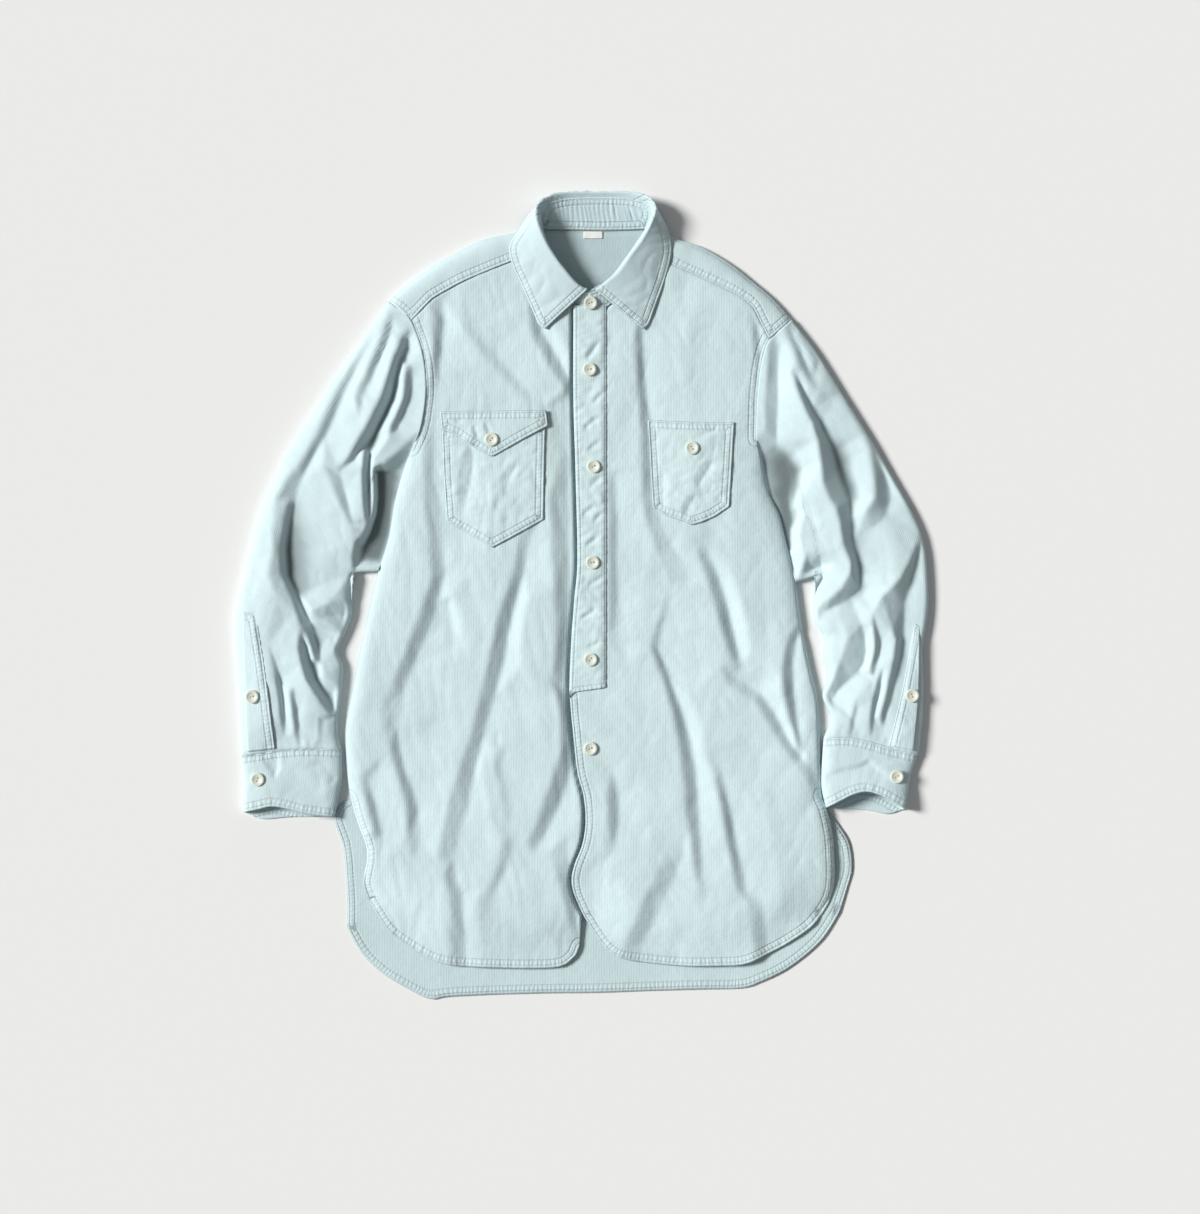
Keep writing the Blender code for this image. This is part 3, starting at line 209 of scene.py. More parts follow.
LEFT_FRONT_CREASES = [
    [(51, 285, 0), (54, 262, 1.5), (56, 235, 1.8), (58, 200, 1.8), (60, 165, 2), (61, 130, 2), (62, 95, 1.8),
     (68, 68, 1.2), (80, 40, 1.2), (92, 14, 0.5)],
    [(60, 286, -1), (62, 258, -3.5), (63, 230, -4), (67, 195, -4.5), (71, 165, -4.5), (73, 130, -4.5),
     (75, 95, -3.5), (84, 68, -2.8), (98, 42, -2), (110, 18, -0.8)],
    [(28, 130, 0.8), (28, 40, 1.2), (29, -48, 0.8)],
    [(35, 125, -1), (37, 80, -3), (36, 40, -3), (37, 0, -3.2), (39, -48, -1)],
    [(116, 50, 0.5), (122, 30, 2), (130, 8, 2.5), (138, -20, 3), (147, -50, 2.5), (152, -63, 1)],
    [(126, 54, -1), (133, 34, -4.5), (143, 8, -6), (151, -24, -6.5), (158, -54, -5), (161, -68, -2)],
    [(148, 34, 1), (158, 5, 1.8), (166, -25, 1.8), (171, -52, 1)],
    [(141, -68, 1), (146, -86, 1.5), (160, -94, 2), (175, -103, 2.5), (187, -124, 2.5), (203, -150, 2.5),
     (216, -166, 2.5), (230, -188, 1)],
    [(150, -75, -2.5), (161, -84, -3.5), (180, -94, -4.5), (196, -117, -5), (210, -141, -5),
     (222, -158, -4.5), (234, -177, -2)],
    [(212, -31, 1), (204, -50, 2.2), (201, -73, 3), (203, -98, 3), (209, -124, 2.2), (216, -148, 1)],
    [(222, -26, -1.5), (216, -41, -4.5), (213, -66, -6), (213, -95, -6), (216, -121, -5), (220, -146, -3),
     (227, -168, -0.8)],
    [(70, -45, 0.5), (72, -53, 2), (82, -80, 2.5), (91, -109, 2.5), (98, -141, 2.5), (101, -170, 2.5),
     (104, -197, 2.5), (106, -220, 2.2), (112, -260, 1.8), (118, -290, 0.3)],
    [(76, -49, -3), (89, -80, -4), (100, -109, -5), (110, -141, -6), (115, -170, -6), (117, -197, -5.5),
     (119, -225, -4.5), (121, -262, -3), (124, -290, -0.8)],
    [(110, -100, 0.8), (120, -125, 1.2), (124, -150, 1)],
    [(129, -166, 1), (134, -180, 1.8), (140, -205, 2.5), (145, -234, 2.5), (151, -266, 2.5),
     (157, -294, 1.8)],
    [(140, -170, -1), (148, -205, -4), (154, -236, -4.5), (161, -268, -4), (167, -296, -2)],
    [(166, -302, 2), (170, -325, 4), (174, -352, 4), (176, -390, 4)],
    [(181, -303, -1), (185, -330, -1.5), (187, -352, -1.5), (189, -390, -1.5)],
    [(90, -246, 0.5), (81, -265, 2), (67, -292, 3), (54, -322, 3.5), (44, -345, 3.5), (34, -388, 3.5)],
    [(103, -254, -0.8), (96, -275, -3), (83, -302, -2.8), (69, -332, -2), (60, -352, -1.5), (52, -388, -1)],
    [(21, -178, 0.5), (26, -200, 2), (27, -225, 2), (24, -250, 0.5)],
    [(32, -174, -0.8), (38, -200, -4), (38, -225, -4), (33, -252, -0.8)],
    [(167, 284, 0.5), (172, 262, 1), (174, 240, 1), (173, 222, 0.5)],
    [(176, 281, -1.5), (179, 262, -3), (180, 240, -3), (178, 222, -1)],
    [(100, 240, 0.6), (112, 150, 0.6), (106, 60, 0.6)],
    [(142, 180, 0.6), (150, 100, 0.8), (160, 50, 0.6)],
    [(176, 60, 0.6), (188, 0, 0.8), (186, -60, 0.8)],
    [(60, -100, 0.6), (66, -180, 0.8), (70, -240, 0.6)],
    [(48, -60, 0.6), (46, -140, 0.6)],
    [(186, -210, 0.8), (194, -260, 1), (204, -300, 1)],
    [(120, -320, 1), (122, -385, 1)],
]
RIGHT_SLEEVE_CREASES = [
    [(-212, 260, 0.5), (-224, 242, 1.5), (-247, 200, 1.5), (-265, 161, 2), (-277, 140, 2), (-292, 122, 2),
     (-305, 100, 2.5), (-308, 70, 3), (-307, 50, 3), (-312, 24, 3), (-304, 5, 2)],
    [(-209, 260, -1), (-219, 242, -2), (-239, 200, -4), (-256, 161, -4), (-269, 140, -4.5), (-279, 119, -5),
     (-286, 100, -7), (-291, 70, -9), (-293.5, 50, -10), (-291.5, 23, -10), (-283, 5, -9), (-276, -12, -9),
     (-268, -27, -8), (-264, -46, -7), (-260, -64, -3), (-257, -76, -0.5)],
    [(-293, 95, -1), (-298, 70, -1), (-300, 50, -1), (-299, 23, -1), (-291, 5, -0.5), (-285, -12, 0),
     (-279, -28, 1), (-270.5, -46, -0.5), (-267, -60, 0)],
    [(-281, -36, 2), (-282, -50, 3), (-279, -64, 3), (-274, -81, 3), (-262, -100, 3), (-252, -115, 2)],
    [(-277, -34, 0), (-274, -50, -7), (-271, -64, -8), (-265, -81, -8), (-254, -98, -7), (-246, -112, -4)],
    [(-192, 277, 0.5), (-200, 257, 1.5), (-206, 243, 1.5), (-215, 225, 1.5), (-226, 203, 0.5)],
    [(-188, 282, -1), (-190.5, 270, -4), (-197, 250, -5), (-201, 240, -5), (-208, 220, -4),
     (-218, 200, -2.5), (-221, 180, 0)],
    [(-177, 264, 0), (-182, 250, 2), (-187, 240, 3), (-193, 220, 3), (-200, 200, 3), (-210, 180, 3),
     (-221, 160, 3), (-232, 140, 2), (-243, 131, 0.5)],
    [(-173, 262, -4), (-176, 250, -7), (-180, 240, -8), (-185, 220, -9), (-189, 200, -10), (-198, 180, -10),
     (-207, 162, -10), (-219, 150, -6), (-226, 140, -4), (-238, 130, -1.5)],
    [(-216, 146, 1), (-217.5, 130, 2), (-217, 100, 2), (-215, 85, 2), (-213, 74, 0)],
    [(-211, 146, -8), (-212.5, 120, -8), (-212, 100, -7), (-211.5, 85, -5)],
    [(-207, 140, -1), (-208, 128, 0), (-207, 118, 0.5), (-206.5, 100, 0.5), (-208, 85, 0.5), (-215, 68, 0.5),
     (-226, 56, 0), (-229, 42, 0)],
    [(-203, 126, -12), (-202, 100, -12), (-204, 82, -12), (-209, 66, -12), (-218, 52, -9)],
    [(-206, 131, 0), (-198, 135, 0.5), (-184, 146, 0.5), (-170, 160, 0.5)],
    [(-194, 124, -12), (-184, 130, -8), (-173, 142, -6)],
    [(-196, 100, -13), (-198, 70, -13), (-206, 45, -12), (-221, 38, -7)],
    [(-176, 228, 0.5), (-178, 200, 1), (-184, 185, 1), (-190, 174, 0.5)],
    [(-169, 235, -2), (-169, 220, -4), (-172, 200, -5), (-180, 180, -5), (-184, 170, -4), (-191, 163, -1)],
    [(-256, 133, 1), (-247, 110, 1), (-239, 90, 1), (-230, 72, 0.5)],
    [(-240, 124, -2), (-236, 108, -2.5), (-231, 90, -2), (-225, 76, -1)],
    [(-269, -12, 1), (-252, -5, 1.5), (-236, 0, 1)],
    [(-262, -20, -1), (-250, -17, -2), (-236, -17, -2.5)],
    [(-312, -45, 0), (-308, -65, 1), (-304, -85, 1), (-301, -100, 1), (-299.5, -120, 0.5)],
    [(-304, -66, -1.5), (-300, -85, -5), (-298, -100, -5), (-296.5, -115, -4), (-296, -138, -1)],
    [(-291, -95, 0.5), (-288, -115, 0.8), (-286, -135, 0.5)],
    [(-287, -88, -1.5), (-284, -108, -4), (-282, -128, -3.5), (-281, -145, -1)],
    [(-262, -118, 0.4), (-263, -142, 0.2)],
    [(-258, -122, -1.2), (-259, -144, -0.6)],
    [(-325, 35, 0.5), (-331, -5, 0.5), (-330, -60, 0.5)],
]
LEFT_SLEEVE_CREASES = [
    [(203, 272, 0.3), (208, 258, 1), (215, 243, 1), (221, 228, 1), (228, 214, 0.5)],
    [(208, 276, -2), (213, 265, -3), (220, 250, -3.5), (226, 235, -3.5), (232, 220, -2.5), (238, 206, -0.5)],
    [(218, 264, 0.8), (225, 251, 1), (233, 238, 0.8)],
    [(216, 274, -2), (222, 262, -3), (230, 250, -3), (238, 238, -2.5), (248, 228, -0.5)],
    [(188, 250, 0.5), (186, 225, 1), (184, 195, 1), (184, 168, 0.5)],
    [(199, 252, -3.5), (198, 230, -5), (198, 200, -5), (197, 175, -5), (196, 158, -5)],
    [(210, 229, 0), (215, 215, 2), (220, 200, 3), (225, 188, 3), (232, 175, 3.5), (236, 160, 4),
     (240, 135, 4), (242, 115, 4), (248, 100, 4), (255, 90, 4), (259, 75, 4), (262, 55, 4), (270, 36, 3.5),
     (269, 25, 3), (260, 10, 3), (249, 0, 2.5), (240, -6, 1)],
    [(214, 226, -2), (220, 212, -4), (226, 200, -5), (232, 188, -6), (240, 175, -7), (248, 160, -8),
     (255, 148, -10), (260, 135, -11), (265, 120, -11), (269, 110, -11), (271, 100, -10), (271, 80, -7.5),
     (272, 55, -6.5), (276, 40, -6.5), (279, 25, -7.5), (281, 10, -8.5), (270, 1, -7.5), (260, -5, -6.5),
     (246, -12, -3)],
    [(285, 165, 0.5), (289, 150, 1.5), (293, 120, 2.5), (294, 102, 1.5), (285, 88, 0.5)],
    [(299, 148, -0.5), (303, 130, -4), (307, 115, -6), (309, 100, -6), (306, 86, -6), (300, 76, -5),
     (291, 71, -5), (280, 73, -4.5)],
    [(186, 149, -6), (193, 139, -9), (204, 131, -11), (209, 118, -11), (203, 102, -11), (205, 88, -11),
     (208, 70, -11), (209, 52, -10)],
    [(196, 150, -8), (206, 141, -10), (216, 128, -10), (217, 112, -8), (214, 97, -7)],
    [(218, 96, -3), (224, 88, -3), (230, 79, -3), (236, 69, -1)],
    [(228, 112, 0), (236, 100, 1)],
    [(218, 66, 1), (221, 52, 1), (225, 41, 0.5), (222, 32, 0.5)],
    [(228, 36, -3), (234, 31, -8), (241, 33, -8), (246, 34, -4)],
    [(229, 46, 1), (240, 44, 1), (252, 35, 1), (250, 24, 0.5)],
    [(331, 42, 1.5), (320, 22, 2.5), (310, 11, 2.5), (300, 1, 2), (292, -14, 1.5)],
    [(338, 48, -3), (334, 30, -5), (328, 10, -6.5), (324, -5, -7), (323, -25, -6.5), (322, -40, -6),
     (320, -55, -6), (317, -70, -5.5), (313, -85, -5), (310, -100, -5), (305, -115, -4.5), (302, -130, -3.5),
     (300, -144, -1)],
    [(311, -30, 0), (315, -42, 1), (313, -58, 1), (310, -72, 1), (306, -86, 1), (303, -101, 1),
     (299.5, -116, 0.5)],
    [(303, -66, -1), (300, -88, -4), (295, -105, -4), (293, -120, -3.5), (290, -140, -1)],
    [(297, -78, 0.5), (292, -100, 1), (289, -120, 0.5)],
    [(291, -25, 1), (293.5, -45, 1.5), (291.5, -58, 1.5), (288, -71, 1)],
    [(296, -30, -3), (299, -45, -5), (298, -57, -4.5), (293, -78, -1.5)],
    [(281, -25, -2), (285, -40, -6), (286, -55, -7), (284, -65, -7), (278, -73, -7), (270, -80, -7),
     (260, -90, -6), (252, -101, -4.5)],
    [(264, -28, 1), (266, -42, 2), (260, -60, 2), (252, -80, 1.5)],
    [(276, -98, 0.5), (270, -120, 0.5), (269, -138, 0.3)],
    [(276, -112, -1.5), (273, -128, -2), (273, -142, -0.8)],
    [(318, 150, 0), (333, 95, 0)],
]
CUFF_CREASES = {
    "right": [[(-301, -156, 0.5), (-299, -168, 0.6), (-307, -182, 0.5)],
              [(-303, -164, -1.4), (-304, -176, -1.8)],
              [(-280, -172, 0.8), (-262, -174, 0.8), (-252, -190, 0.6)],
              [(-256, -166, -0.8), (-246, -180, -1)]],
    "left": [[(248, -172, 0.8), (262, -168, 0.6), (280, -164, 0.8), (288, -160, 0.8)],
             [(250, -177, -1), (265, -173, -1.6), (280, -169, -1.8), (288, -165, -1.5), (300, -174, -1.2)],
             [(292, -162, 0.6), (304, -170, 0.8), (308, -178, 0.5)]],
}

# Small folds on what is sewn on top: a fold's spine, its height (negative goes down), how far it
# reaches to the left and the right of the spine, and the shares of its length over which it
# starts and ends
Fold = namedtuple("Fold", "spine height left right start end")
PLACKET_FOLDS = [
    Fold([(19, 258), (13, 248), (5, 236)], -1.7, 4, 3, 0.3, 0.3),
    Fold([(24, 207), (18, 201), (12, 193)], -1.4, 3, 3, 0.3, 0.3),
    Fold([(20, 182), (11, 176), (2, 168)], -1.5, 3, 3, 0.3, 0.3),
    Fold([(22, 160), (13, 152), (4, 146)], -1.3, 3, 3, 0.3, 0.3),
    Fold([(23, 122), (16, 117), (8, 109)], -1.5, 4, 3, 0.3, 0.3),
    Fold([(16, 94), (9, 89), (0, 81)], -1.4, 3, 3, 0.3, 0.3),
    Fold([(25, 88), (18, 82), (12, 73)], -1.3, 3, 3, 0.3, 0.3),
    Fold([(20, 62), (12, 57), (3, 49)], -1.5, 3, 3, 0.3, 0.3),
    Fold([(24, 24), (15, 17), (6, 12)], -1.3, 4, 3, 0.3, 0.3),
    Fold([(18, -8), (9, -15), (-2, -22)], -1.4, 3, 3, 0.3, 0.3),
    Fold([(22, -40), (15, -46), (5, -50)], -1.2, 3, 3, 0.3, 0.3),
]
POCKET_FOLDS = {
    "pocket_right": [
        Fold([(-112, 160), (-108, 140), (-112, 110), (-118, 82)], -1.6, 9, 7, 0.3, 0.4),
        Fold([(-62, 140), (-74, 112), (-70, 100)], -1.2, 6, 5, 0.3, 0.4),
        Fold([(-90, 120), (-86, 90)], 1.0, 12, 12, 0.4, 0.4),
    ],
    "pocket_left": [
        Fold([(134, 140), (122, 120), (116, 108)], -1.6, 6, 6, 0.3, 0.3),
        Fold([(118, 106), (108, 92), (106, 80)], -1.3, 5, 5, 0.3, 0.3),
        Fold([(83, 130), (82, 100), (86, 86)], -1.2, 6, 6, 0.3, 0.3),
        Fold([(118, 162), (129, 166), (140, 172)], -1.0, 3, 3, 0.3, 0.3),
    ],
    "pocket_flap_right": [
        Fold([(-107, 175), (-104, 165), (-102, 158)], -1.2, 3, 3, 0.3, 0.3),
        Fold([(-96, 178), (-92, 168), (-90, 160)], -1.2, 3, 3, 0.3, 0.3),
        Fold([(-126, 178), (-117, 176)], -0.9, 3, 3, 0.3, 0.3),
        Fold([(-120, 160), (-106, 152)], 2.0, 9, 9, 0.3, 0.3),
    ],
}

# The collar from its right end round the back to its left end: where the stand joins the
# neckline, where the leaf joins the stand, the leaf's crest and its outer edge, as x, y, z,
# and its sag: above 1 the leaf falls steeply first and then runs out flat
Station = namedtuple("Station", "seam top roll edge sag")
COLLAR = [
    Station((6, 291.3, 10.6), (4, 306, 17), (7, 308, 19), (-39, 266, 12.0), 1),
    Station((-8, 297.2, 10.6), (-4, 314, 19), (-5, 315, 21.5), (-48, 288, 12.0), 1),
    Station((-21.6, 308.8, 10.6), (-16, 328, 22), (-19, 331, 24.5), (-59, 313, 12), 1),
    Station((-34.2, 323.8, 10.6), (-28, 345, 23), (-31, 348, 26), (-69, 336, 12.2), 1),
    Station((-47.3, 343.3, 10.4), (-36, 361, 24), (-39, 364, 27), (-71, 354, 12.2), 1),
    Station((-49.4, 357, 9.4), (-40, 377, 24), (-44, 380, 27), (-62, 368, 11.5), 1.1),
    Station((-45.5, 370.6, 2.6), (-39, 389, 21), (-42, 393, 24.5), (-50, 386, 8), 1.3),
    Station((-30, 370.1, 1.2), (-28, 397, 16), (-29, 402, 19.5), (-30, 397, 3), 1.6),
    Station((-8, 369.6, 1.2), (-9, 401, 13), (-10, 405.5, 15.5), (-10, 388, 0.9), 2.4),
    Station((20, 369, 1.2), (20, 402, 12), (20, 406, 14.5), (20, 380, 0.9), 3),
    Station((46, 369.5, 1.2), (48, 401, 13), (50, 405.5, 15.5), (50, 388, 0.9), 2.4),
    Station((65, 370.2, 1.2), (66, 396, 16), (68, 400, 19.5), (69, 395, 3), 1.6),
    Station((80, 368.9, 3), (71, 386, 21), (75, 389, 24.5), (82, 380, 8), 1.3),
    Station((79.4, 358.6, 9), (67, 372, 24), (71, 375, 27), (89, 362, 11.8), 1.1),
    Station((73, 346, 10.4), (58, 357, 24), (62, 358, 27), (91, 345, 12.2), 1),
    Station((62, 328, 10.6), (46, 340, 23), (50, 342, 26), (84, 317, 12), 1),
    Station((45, 308, 10.6), (33, 323, 21), (37, 324, 23.5), (75, 292, 12), 1),
    Station((24.6, 290.6, 10.8), (18, 309, 17.5), (15, 308, 20), (66, 266, 12.0), 1),
]
STAND_OVERLAP = ((4, 288, 12.4), (9, 305, 17.6))
STAND_UNDERLAP = ((18, 297, 8), (22, 315, 17))

# Pieces sewn on top: left and right sides downwards, top and bottom to the right
Trim = namedtuple("Trim", "left right top bottom")
TRIMS = {
    "pocket_right": Trim([(-139, 169), (-137, 120), (-134, 77)], [(-35, 171), (-36, 125), (-37, 79)],
                         [(-139, 169), (-90, 170), (-35, 171)],
                         [(-134, 77), (-111, 64), (-92, 53), (-88, 51), (-84, 53), (-62, 65), (-37, 79)]),
    "pocket_left": Trim([(67, 179), (70, 125), (72, 91)], [(154, 176), (151, 125), (149, 92)],
                        [(67, 179), (110, 176.5), (154, 176)],
                        [(72, 91), (85, 83), (103, 77), (113, 74), (132, 81), (140, 86), (149, 92)]),
    "pocket_flap_right": Trim([(-141, 187), (-139, 169)], [(-34, 188), (-32, 173)],
                              [(-141, 187), (-90, 187.5), (-34, 188)],
                              [(-139, 169), (-124, 163), (-112, 155), (-94, 144), (-89, 142.5), (-84, 144),
                               (-58, 159), (-32, 173)]),
    "sleeve_placket_right": Trim([(-337, -14), (-336, -84), (-333, -153)],
                                 [(-324, -14), (-314, -76), (-305, -150)],
                                 [(-337, -14), (-324, -14)], [(-333, -153), (-305, -150)]),
    "sleeve_placket_left": Trim([(334, -24), (322, -88), (308, -147)], [(339, -28), (338, -96), (333, -152)],
                                [(334, -24), (339, -28)], [(308, -147), (333, -152)]),
}
NECK_LABEL = (12.5, 364.5, 19, 7)   # middle x and y, width and depth

# Middle x, y of the buttons; their heights are found on the cloth
Spot = namedtuple("Spot", "node x y turn")
BUTTONS = [
    Spot("button_front_1", 9, 229, 0.1), Spot("button_front_2", 13, 132, 0.5),
    Spot("button_front_3", 12, 36, 0.2), Spot("button_front_4", 10, -61, 0.9),
    Spot("button_front_5", 10, -150, 0.4), Spot("button_pocket_right", -89, 159, 0.8),
    Spot("button_pocket_left", 111.5, 150.5, 2.2), Spot("button_cuff_right", -323, -181, 1.2),
    Spot("button_cuff_left", 316, -178, 0.6), Spot("button_sleeve_right", -328, -98, 0.3),
    Spot("button_sleeve_left", 331.5, -97, 1.9),
]
COLLAR_BUTTON = (10, 295.5, 16.0, 14)   # middle x, y, underside's height and tilt in degrees
BUTTON_PROFILE = [(0, 1.3), (3.9, 1.4), (4.6, 1.9), (5.6, 2.05), (6.5, 1.7), (6.75, 1.0), (6.3, 0.25),
                  (5.4, 0), (0, 0)]   # radius and height, from the dish's middle round the rim

# The photograph's view: straight down, this much across at the height of the cloth
VIEW_MIDDLE = (19.5, -8.5)
VIEW_WIDTH = 1214.0
LENS = 100.0
SENSOR = 36.0

# The light: a wide soft source from the picture's left, and an even fill
KEY_FROM = (-0.84, 0.20, 0.64)
KEY_SPREAD = 17.0      # degrees
KEY_STRENGTH = 4.13
FILL_STRENGTH = 0.22


def spline(points, count):
    """Evenly spaced points on the Catmull-Rom curve through the given ones."""
    knots = np.array(points, float)
    padded = np.vstack([2 * knots[0] - knots[1], knots, 2 * knots[-1] - knots[-2]])
    steps = np.linspace(0, 1, 12, endpoint=False)[:, None]
    curve = []
    for p0, p1, p2, p3 in zip(padded, padded[1:], padded[2:], padded[3:]):
        curve.append(0.5 * (2 * p1 + (p2 - p0) * steps + (2 * p0 - 5 * p1 + 4 * p2 - p3) * steps ** 2
                            + (3 * p1 - p0 - 3 * p2 + p3) * steps ** 3))
    curve = np.vstack(curve + [knots[-1:]])
    lengths = np.concatenate([[0], np.cumsum(np.linalg.norm(np.diff(curve, axis=0), axis=1))])
    at = np.linspace(0, lengths[-1], count)
    return np.stack([np.interp(at, lengths, curve[:, axis]) for axis in range(knots.shape[1])], axis=1)


def along(points, share):
    """Points at the given shares of a curve's length."""
    fine = spline(points, 321)
    at = np.linspace(0, 1, len(fine))
    return np.stack([np.interp(share, at, fine[:, axis]) for axis in range(fine.shape[1])], axis=-1)


def nearest_on(line, x, y):
    """Distance to a polyline, its side (+ to the right of a line drawn downwards) and the run along it."""
    best = np.full(x.shape, np.inf)
    side = np.zeros(x.shape)
    run = np.zeros(x.shape)
    lengths = np.linalg.norm(np.diff(line, axis=0), axis=1)
    start = 0.0
    for (ax, ay), (bx, by), length in zip(line, line[1:], lengths):
        dx, dy = bx - ax, by - ay
        t = np.clip(((x - ax) * dx + (y - ay) * dy) / length ** 2, 0, 1)
        gap = np.hypot(x - ax - t * dx, y - ay - t * dy)
        nearer = gap < best
        best = np.where(nearer, gap, best)
        side = np.where(nearer, np.sign((y - ay) * dx - (x - ax) * dy), side)
        run = np.where(nearer, start + t * length, run)
        start += length
    return best, side, run


def smooth_step(value):
    value = np.clip(value, 0, 1)
    return value * value * (3 - 2 * value)


def rounding(gap, reach=EDGE_ROUND):
    """0 at a folded edge, rising on a quarter ellipse to 1 at the given reach."""
    wrong_side_and_shade = 1 - np.clip(gap / reach, 0, 1)
    return np.sqrt(1 - wrong_side_and_shade ** 2)


def fold_heights(folds, x, y):
    """Sum of the folds' heights: each a soft-sided trough with a crisp bottom between low shoulders."""
    total = np.zeros(x.shape)
    for fold in folds:
        line = spline(fold.spine, 22)
        reach = 3.5 * max(fold.left, fold.right)
        near = ((x > line[:, 0].min() - reach) & (x < line[:, 0].max() + reach)
                & (y > line[:, 1].min() - reach) & (y < line[:, 1].max() + reach))
        if not near.any():
            continue
        gap, side, run = nearest_on(line, x[near], y[near])
        share = run / np.linalg.norm(np.diff(line, axis=0), axis=1).sum()
        width = np.where(side > 0, fold.right, fold.left)
        ends = smooth_step(share / fold.start) * smooth_step((1 - share) / fold.end)
        width = width * (0.35 + 0.65 * ends)
        gap = np.sqrt(gap ** 2 + 0.35) / (0.88 * width)
        crest = np.where(side < 0, CREST_LEFT, CREST_RIGHT)
        trough = np.exp(-gap ** 1.05) - crest * np.exp(-(np.abs(gap - 1.6) / 1.1) ** 1.2)
        total[near] += fold.height * FOLD_FACTOR * trough * ends
    return total


class Terrain:
    """Flat facets between crease lines, kept on a 1 mm grid and softened a little."""

    def __init__(self, creases, borders, softness=1.3):
        lines = creases + borders
        points = np.array([point for line in lines for point in line], float)
        links, first = [], 0
        for line in lines:
            links += [(first + step, first + step + 1) for step in range(len(line) - 1)]
            first += len(line)
        found = delaunay_2d_cdt([Vector(point[:2]) for point in points], links, [], 0, 0.01)
        corners, sources = np.array(found[0]), found[3]
        heights = np.array([points[source[0], 2] if source else np.nan for source in sources])
        for crossing in np.flatnonzero(np.isnan(heights)):
            nearness = 1 / (0.1 + np.hypot(*(points[:, :2] - corners[crossing]).T)) ** 3
            heights[crossing] = (nearness * points[:, 2]).sum() / nearness.sum()
        self.low = np.floor(corners.min(axis=0)) - 4
        width, depth = (np.ceil(corners.max(axis=0)) + 4 - self.low).astype(int)
        x, y = np.meshgrid(self.low[0] + np.arange(width), self.low[1] + np.arange(depth), indexing="ij")
        grid = np.zeros(x.shape)
        for face in found[2]:
            (ax, ay), (bx, by), (cx, cy) = corners[face]
            area = (bx - ax) * (cy - ay) - (cx - ax) * (by - ay)
            if abs(area) < 1e-6:
                continue
            share_b = ((x - ax) * (cy - ay) - (cx - ax) * (y - ay)) / area
            share_c = ((bx - ax) * (y - ay) - (x - ax) * (by - ay)) / area
            within = (share_b >= -1e-9) & (share_c >= -1e-9) & (share_b + share_c <= 1 + 1e-9)
            flat = heights[face[0]] * (1 - share_b - share_c) + heights[face[1]] * share_b
            grid = np.where(within, flat + heights[face[2]] * share_c, grid)
        offsets = np.arange(-4, 5)
        kernel = np.exp(-(offsets / softness) ** 2 / 2)
        kernel /= kernel.sum()
        for axis in (0, 1):
            grid = sum(part * np.roll(grid, offset, axis) for offset, part in zip(offsets, kernel))
        self.grid = grid

    def __call__(self, x, y):
        across = np.clip(x - self.low[0], 0, self.grid.shape[0] - 1.001)
        up = np.clip(y - self.low[1], 0, self.grid.shape[1] - 1.001)
        column, row = across.astype(int), up.astype(int)
        across, up = across - column, up - row
        return ((self.grid[column, row] * (1 - across) + self.grid[column + 1, row] * across) * (1 - up)
                + (self.grid[column, row + 1] * (1 - across) + self.grid[column + 1, row + 1] * across) * up)


def ripple(x, y, length, seed):
    """Uneven low waves about the given length apart, between about -1 and 1."""
    pick = np.random.default_rng(seed)
    total = np.zeros(x.shape)
    for _ in range(7):
        turn, phase, stretch = pick.uniform(0, math.tau, 2).tolist() + [pick.uniform(0.7, 1.5)]
        total += np.sin(math.tau * (x * math.cos(turn) + y * math.sin(turn)) / (length * stretch) + phase)
    return total / 4


def crumple(x, y, length, seed):
    """Low facets that meet in crisp lines about the given length apart, between 0 and about 1."""
    bend = 0.25 * length
    x, y = x + bend * ripple(x, y, 2.4 * length, seed + 1), y + bend * ripple(x, y, 2.1 * length, seed + 2)
    return np.abs(ripple(x, y, length, seed + 3))


def pucker(gap, run, seed):
    """The small gathers that sewing leaves beside a seam."""
    drift = ripple(run, gap * 0.3, 60, seed)
    waves = np.sin(math.tau * run / 9 + 3.0 * drift) * (0.6 + 0.4 * ripple(run, gap, 35, seed + 1))
    return waves * np.exp(-((gap - 4.5) / 4.5) ** 2)


class Patch:
    """A four-sided panel between two sides (top to bottom) and two ends (left to right).

    trim moves the left, right, top and bottom borders off their curves, for the seam gaps.
    """

    def __init__(self, left, right, top, bottom, trim=((0, 0),) * 4):
        self.left, self.right, self.top, self.bottom = left, right, top, bottom
        self.trim = trim

    def at(self, u, v):
        left, right = along(self.left, v), along(self.right, v)
        top, bottom = along(self.top, u), along(self.bottom, u)
        u, v = u[:, None], v[:, None]
        corners = ((1 - u) * (1 - v) * np.array(self.top[0]) + u * (1 - v) * np.array(self.top[-1])
                   + (1 - u) * v * np.array(self.bottom[0]) + u * v * np.array(self.bottom[-1]))
        spots = (1 - u) * left + u * right + (1 - v) * top + v * bottom - corners
        for border, shift in zip((u < 1e-6, u > 1 - 1e-6, v < 1e-6, v > 1 - 1e-6), self.trim):
            spots = spots + border * np.array(shift)
        return spots


def joined(*names):
    """One run of points along several outlines that follow on from each other."""
    points = list(OUTLINE[names[0]])
    for name in names[1:]:
        points += OUTLINE[name][1:]
    return points


def level(line):
    """A line for a terrain to pass through at height 0."""
    return [(x, y, 0.0) for x, y in line]


def metres(x, y, z):
    return ((x - LAYOUT_MIDDLE[0]) * MM, (y - LAYOUT_MIDDLE[1]) * MM, z * MM)


# Materials

